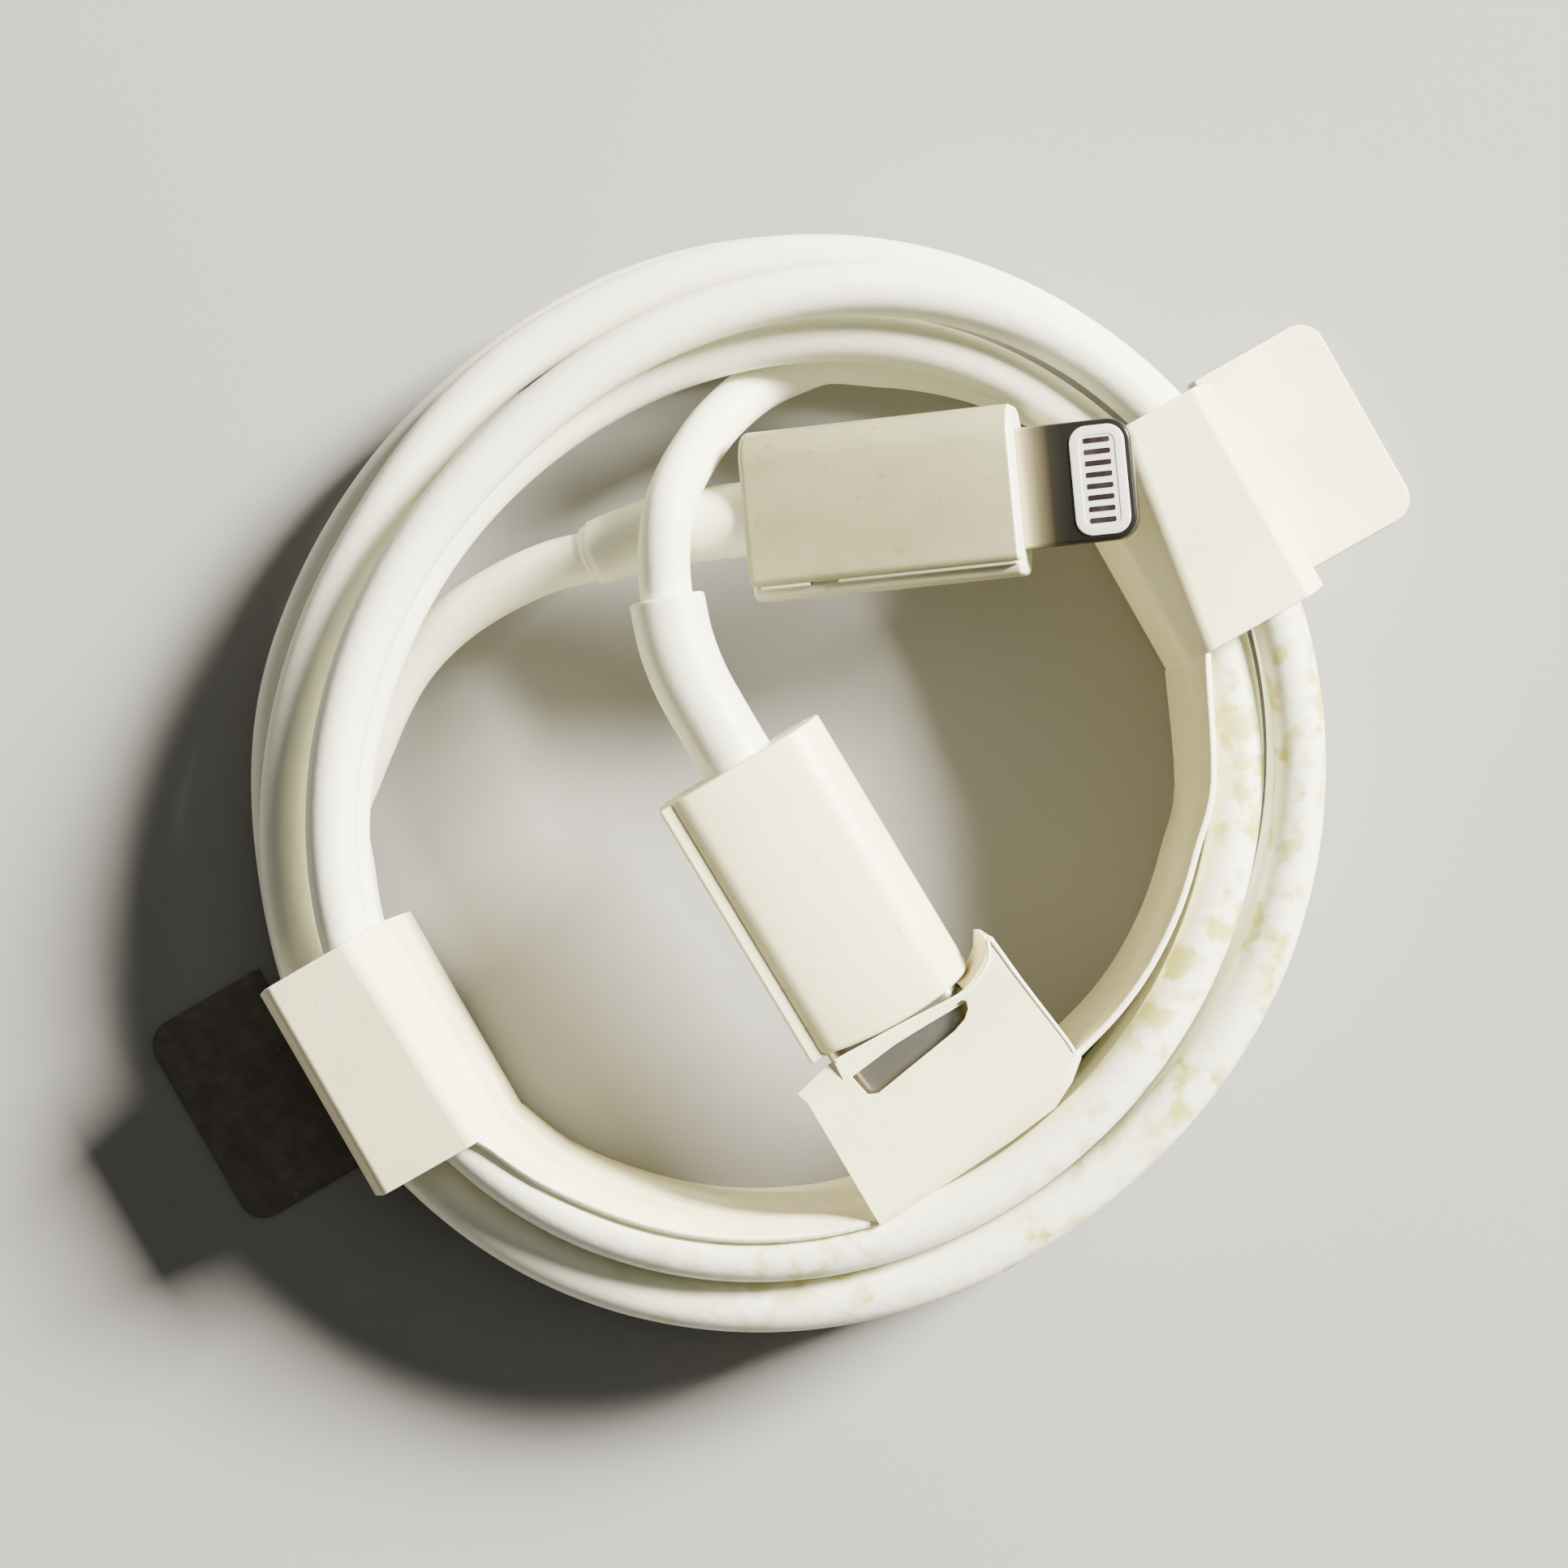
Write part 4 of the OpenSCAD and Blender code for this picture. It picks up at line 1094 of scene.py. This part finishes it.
# The curl at the right corner starts at this point of the front edge. Each step goes so
# far down and leans so far in, and a share of that lean goes sideways.
CURL_FROM = 5
CORNER_CURL = [(0.5, 0.15), (1.2, 0.3), (1.5, 0.1)]
CURL_ASIDE = 0.3
SLOT = [
    (14.45, -7.5),
    (15.8, -7.45),
    (16.1, -6.95),
    (16.17, -1.5),
    (16.02, -0.65),
    (15.7, -0.15),
    (15.3, 0.05),
    (15.12, -0.1),
    (14.9, -2.5),
    (14.62, -4.6),
]


def closed_loop(bm, points):
    """The edges of a closed outline."""
    verts = [bm.verts.new(point) for point in points]
    return [bm.edges.new(pair) for pair in zip(verts, verts[1:] + verts[:1])]


def row_at(bm, outline):
    """The sheet's vertices at the points of an outline."""
    return [min(bm.verts, key=lambda v: (v.co.xy - Vector(p)).length) for p in outline]


bm = bmesh.new()
loops = []
for outline in (FRONT_EDGE + FOLD_EDGE + LEFT_FOLD, SLOT):
    loops += closed_loop(bm, [(x, y, FLAP_HEIGHT) for x, y in outline])
bmesh.ops.triangle_fill(bm, edges=loops, use_beauty=True, use_dissolve=False)
# Left of the slot the card bends down in a short flange.
for vert, (x, y, drop) in zip(next_row(bm, row_at(bm, LEFT_FOLD)), LEFT_FOOT):
    vert.co = Vector((x, y, FLAP_HEIGHT - drop))
# Along the coil it bends down in a soft fold.
row = row_at(bm, FOLD_EDGE)
fold = [v.co.copy() for v in row]
for step in range(1, BEND_STEPS + 1):
    turn = math.radians(90 / BEND_STEPS * step)
    row = next_row(bm, row)
    for vert, start, (wide, deep) in zip(row, fold, BEND):
        vert.co = start + Vector((wide * math.sin(turn), 0, deep * (math.cos(turn) - 1)))
# At the right corner the front edge curls down round the boot.
row = row_at(bm, FRONT_EDGE[CURL_FROM:])
for drop, lean in CORNER_CURL:
    row = next_row(bm, row)
    for vert in row:
        vert.co += Vector((-lean, -CURL_ASIDE * lean, -drop))
folded_card("holder_flap", bm, holder_place, "plug_holder")

# A pale bead along the front and right edges is a painted highlight: the light that
# these folded edges catch.
BEAD_RADIUS = 0.13
BEAD_HEIGHT = ROOF + CARD - 0.06
BEAD_SET_BACK = 0.08
SIDE_EDGE = [(15.5, 3.12), (18, 3.0), (20.4, 2.9), (21.2, 2.8)]
turned = Matrix.Rotation(math.radians(HOLDER_TURN), 3, "Z")
bead_line = [
    turned @ Vector((x + BEAD_SET_BACK, y, BEAD_HEIGHT))
    for x, y in [(13.15, -7.62)] + FRONT_EDGE[1:] + SIDE_EDGE
]
bead_line = smooth_route(bead_line, 3)
bead = tube_along("holder_painted_highlight_bead", bead_line, [BEAD_RADIUS] * len(bead_line), sides=4)
rides(bead, card_edge, "card_white")

# The front lip hangs under the flap, square to the plug, with its window.
LIP_LEFT, LIP_RIGHT = -3.85, 4.3
LIP_CORNER = -4.75
LIP_DROP = 4.3
LIP_AT = 1.45
LIP_OUTLINE = [
    (LIP_CORNER, ROOF - LIP_DROP),
    (LIP_RIGHT, ROOF - LIP_DROP),
    (LIP_RIGHT, ROOF),
    (LIP_LEFT, ROOF),
    (LIP_LEFT, ROOF - 0.12),
    (LIP_CORNER, ROOF - 0.9),
]
WINDOW_HALF = 2.95
WINDOW_RADIUS = 1.45
WINDOW_HEIGHT = 11.93
WINDOW_STEPS = 24
window = []
for i in range(WINDOW_STEPS):
    turn = 2 * math.pi * i / WINDOW_STEPS
    side = math.copysign(WINDOW_HALF, math.cos(turn) + 1e-6)
    across = side + WINDOW_RADIUS * math.cos(turn)
    window.append((across, WINDOW_HEIGHT + WINDOW_RADIUS * math.sin(turn)))
bm = bmesh.new()
loops = []
for outline in (LIP_OUTLINE, window):
    loops += closed_loop(bm, [(LIP_AT, y, z) for y, z in outline])
bmesh.ops.triangle_fill(bm, edges=loops, use_beauty=True, use_dissolve=True)
lip_place = placed(CHARGER_TURN, at=(CHARGER_AT.x, CHARGER_AT.y, 0))
folded_card("holder_front_lip", bm, lip_place)

# The side lip hangs straight down from the flap's right edge.
SIDE_LIP_TOP = [(14.0, 3.0), (17.5, 2.82), (20.7, 2.62)]
SIDE_LIP_FALL = Vector((0, 0.05, -2.2))
bm = bmesh.new()
for vert in next_row(bm, [bm.verts.new((x, y, ROOF)) for x, y in SIDE_LIP_TOP]):
    vert.co += SIDE_LIP_FALL
folded_card("holder_side_lip", bm, holder_place)

# ---------------------------------------------------------------- floor and light
# A plain pale floor, one soft key light from the upper right, a weak fill from above
# and a faint even glow all round.
FLOOR_HALF = 1.5
bm = bmesh.new()
bmesh.ops.create_grid(bm, x_segments=1, y_segments=1, size=FLOOR_HALF)
mesh = bpy.data.meshes.new("floor")
bm.to_mesh(mesh)
bm.free()
floor = bpy.data.objects.new("floor", mesh)
bpy.context.scene.collection.objects.link(floor)
floor_paint, tree, shader = new_material("floor_paint", (0.28, 0.275, 0.275), 0.9)
mesh.materials.append(floor_paint)


LIGHT_AWAY = 1.2
KEY_COLOR = (1.0, 0.965, 0.83)
FILL_COLOR = (1.0, 0.98, 0.93)


def area_light(name, azimuth, elevation, size, power, color):
    """A square light that faces the origin."""
    data = bpy.data.lights.new(name, "AREA")
    data.size = size
    data.energy = power
    data.color = color
    light = bpy.data.objects.new(name, data)
    way = direction(azimuth, elevation)
    light.location = way * LIGHT_AWAY
    light.rotation_euler = way.to_track_quat("Z", "Y").to_euler()
    bpy.context.scene.collection.objects.link(light)


area_light("key", azimuth=32, elevation=34, size=0.34, power=132, color=KEY_COLOR)
area_light("fill", azimuth=60, elevation=75, size=0.8, power=1.5, color=FILL_COLOR)

world = bpy.data.worlds.new("studio")
world.use_nodes = True
glow = world.node_tree.nodes["Background"]
glow.inputs["Color"].default_value = (*FILL_COLOR, 1)
glow.inputs["Strength"].default_value = 0.07
bpy.context.scene.world = world
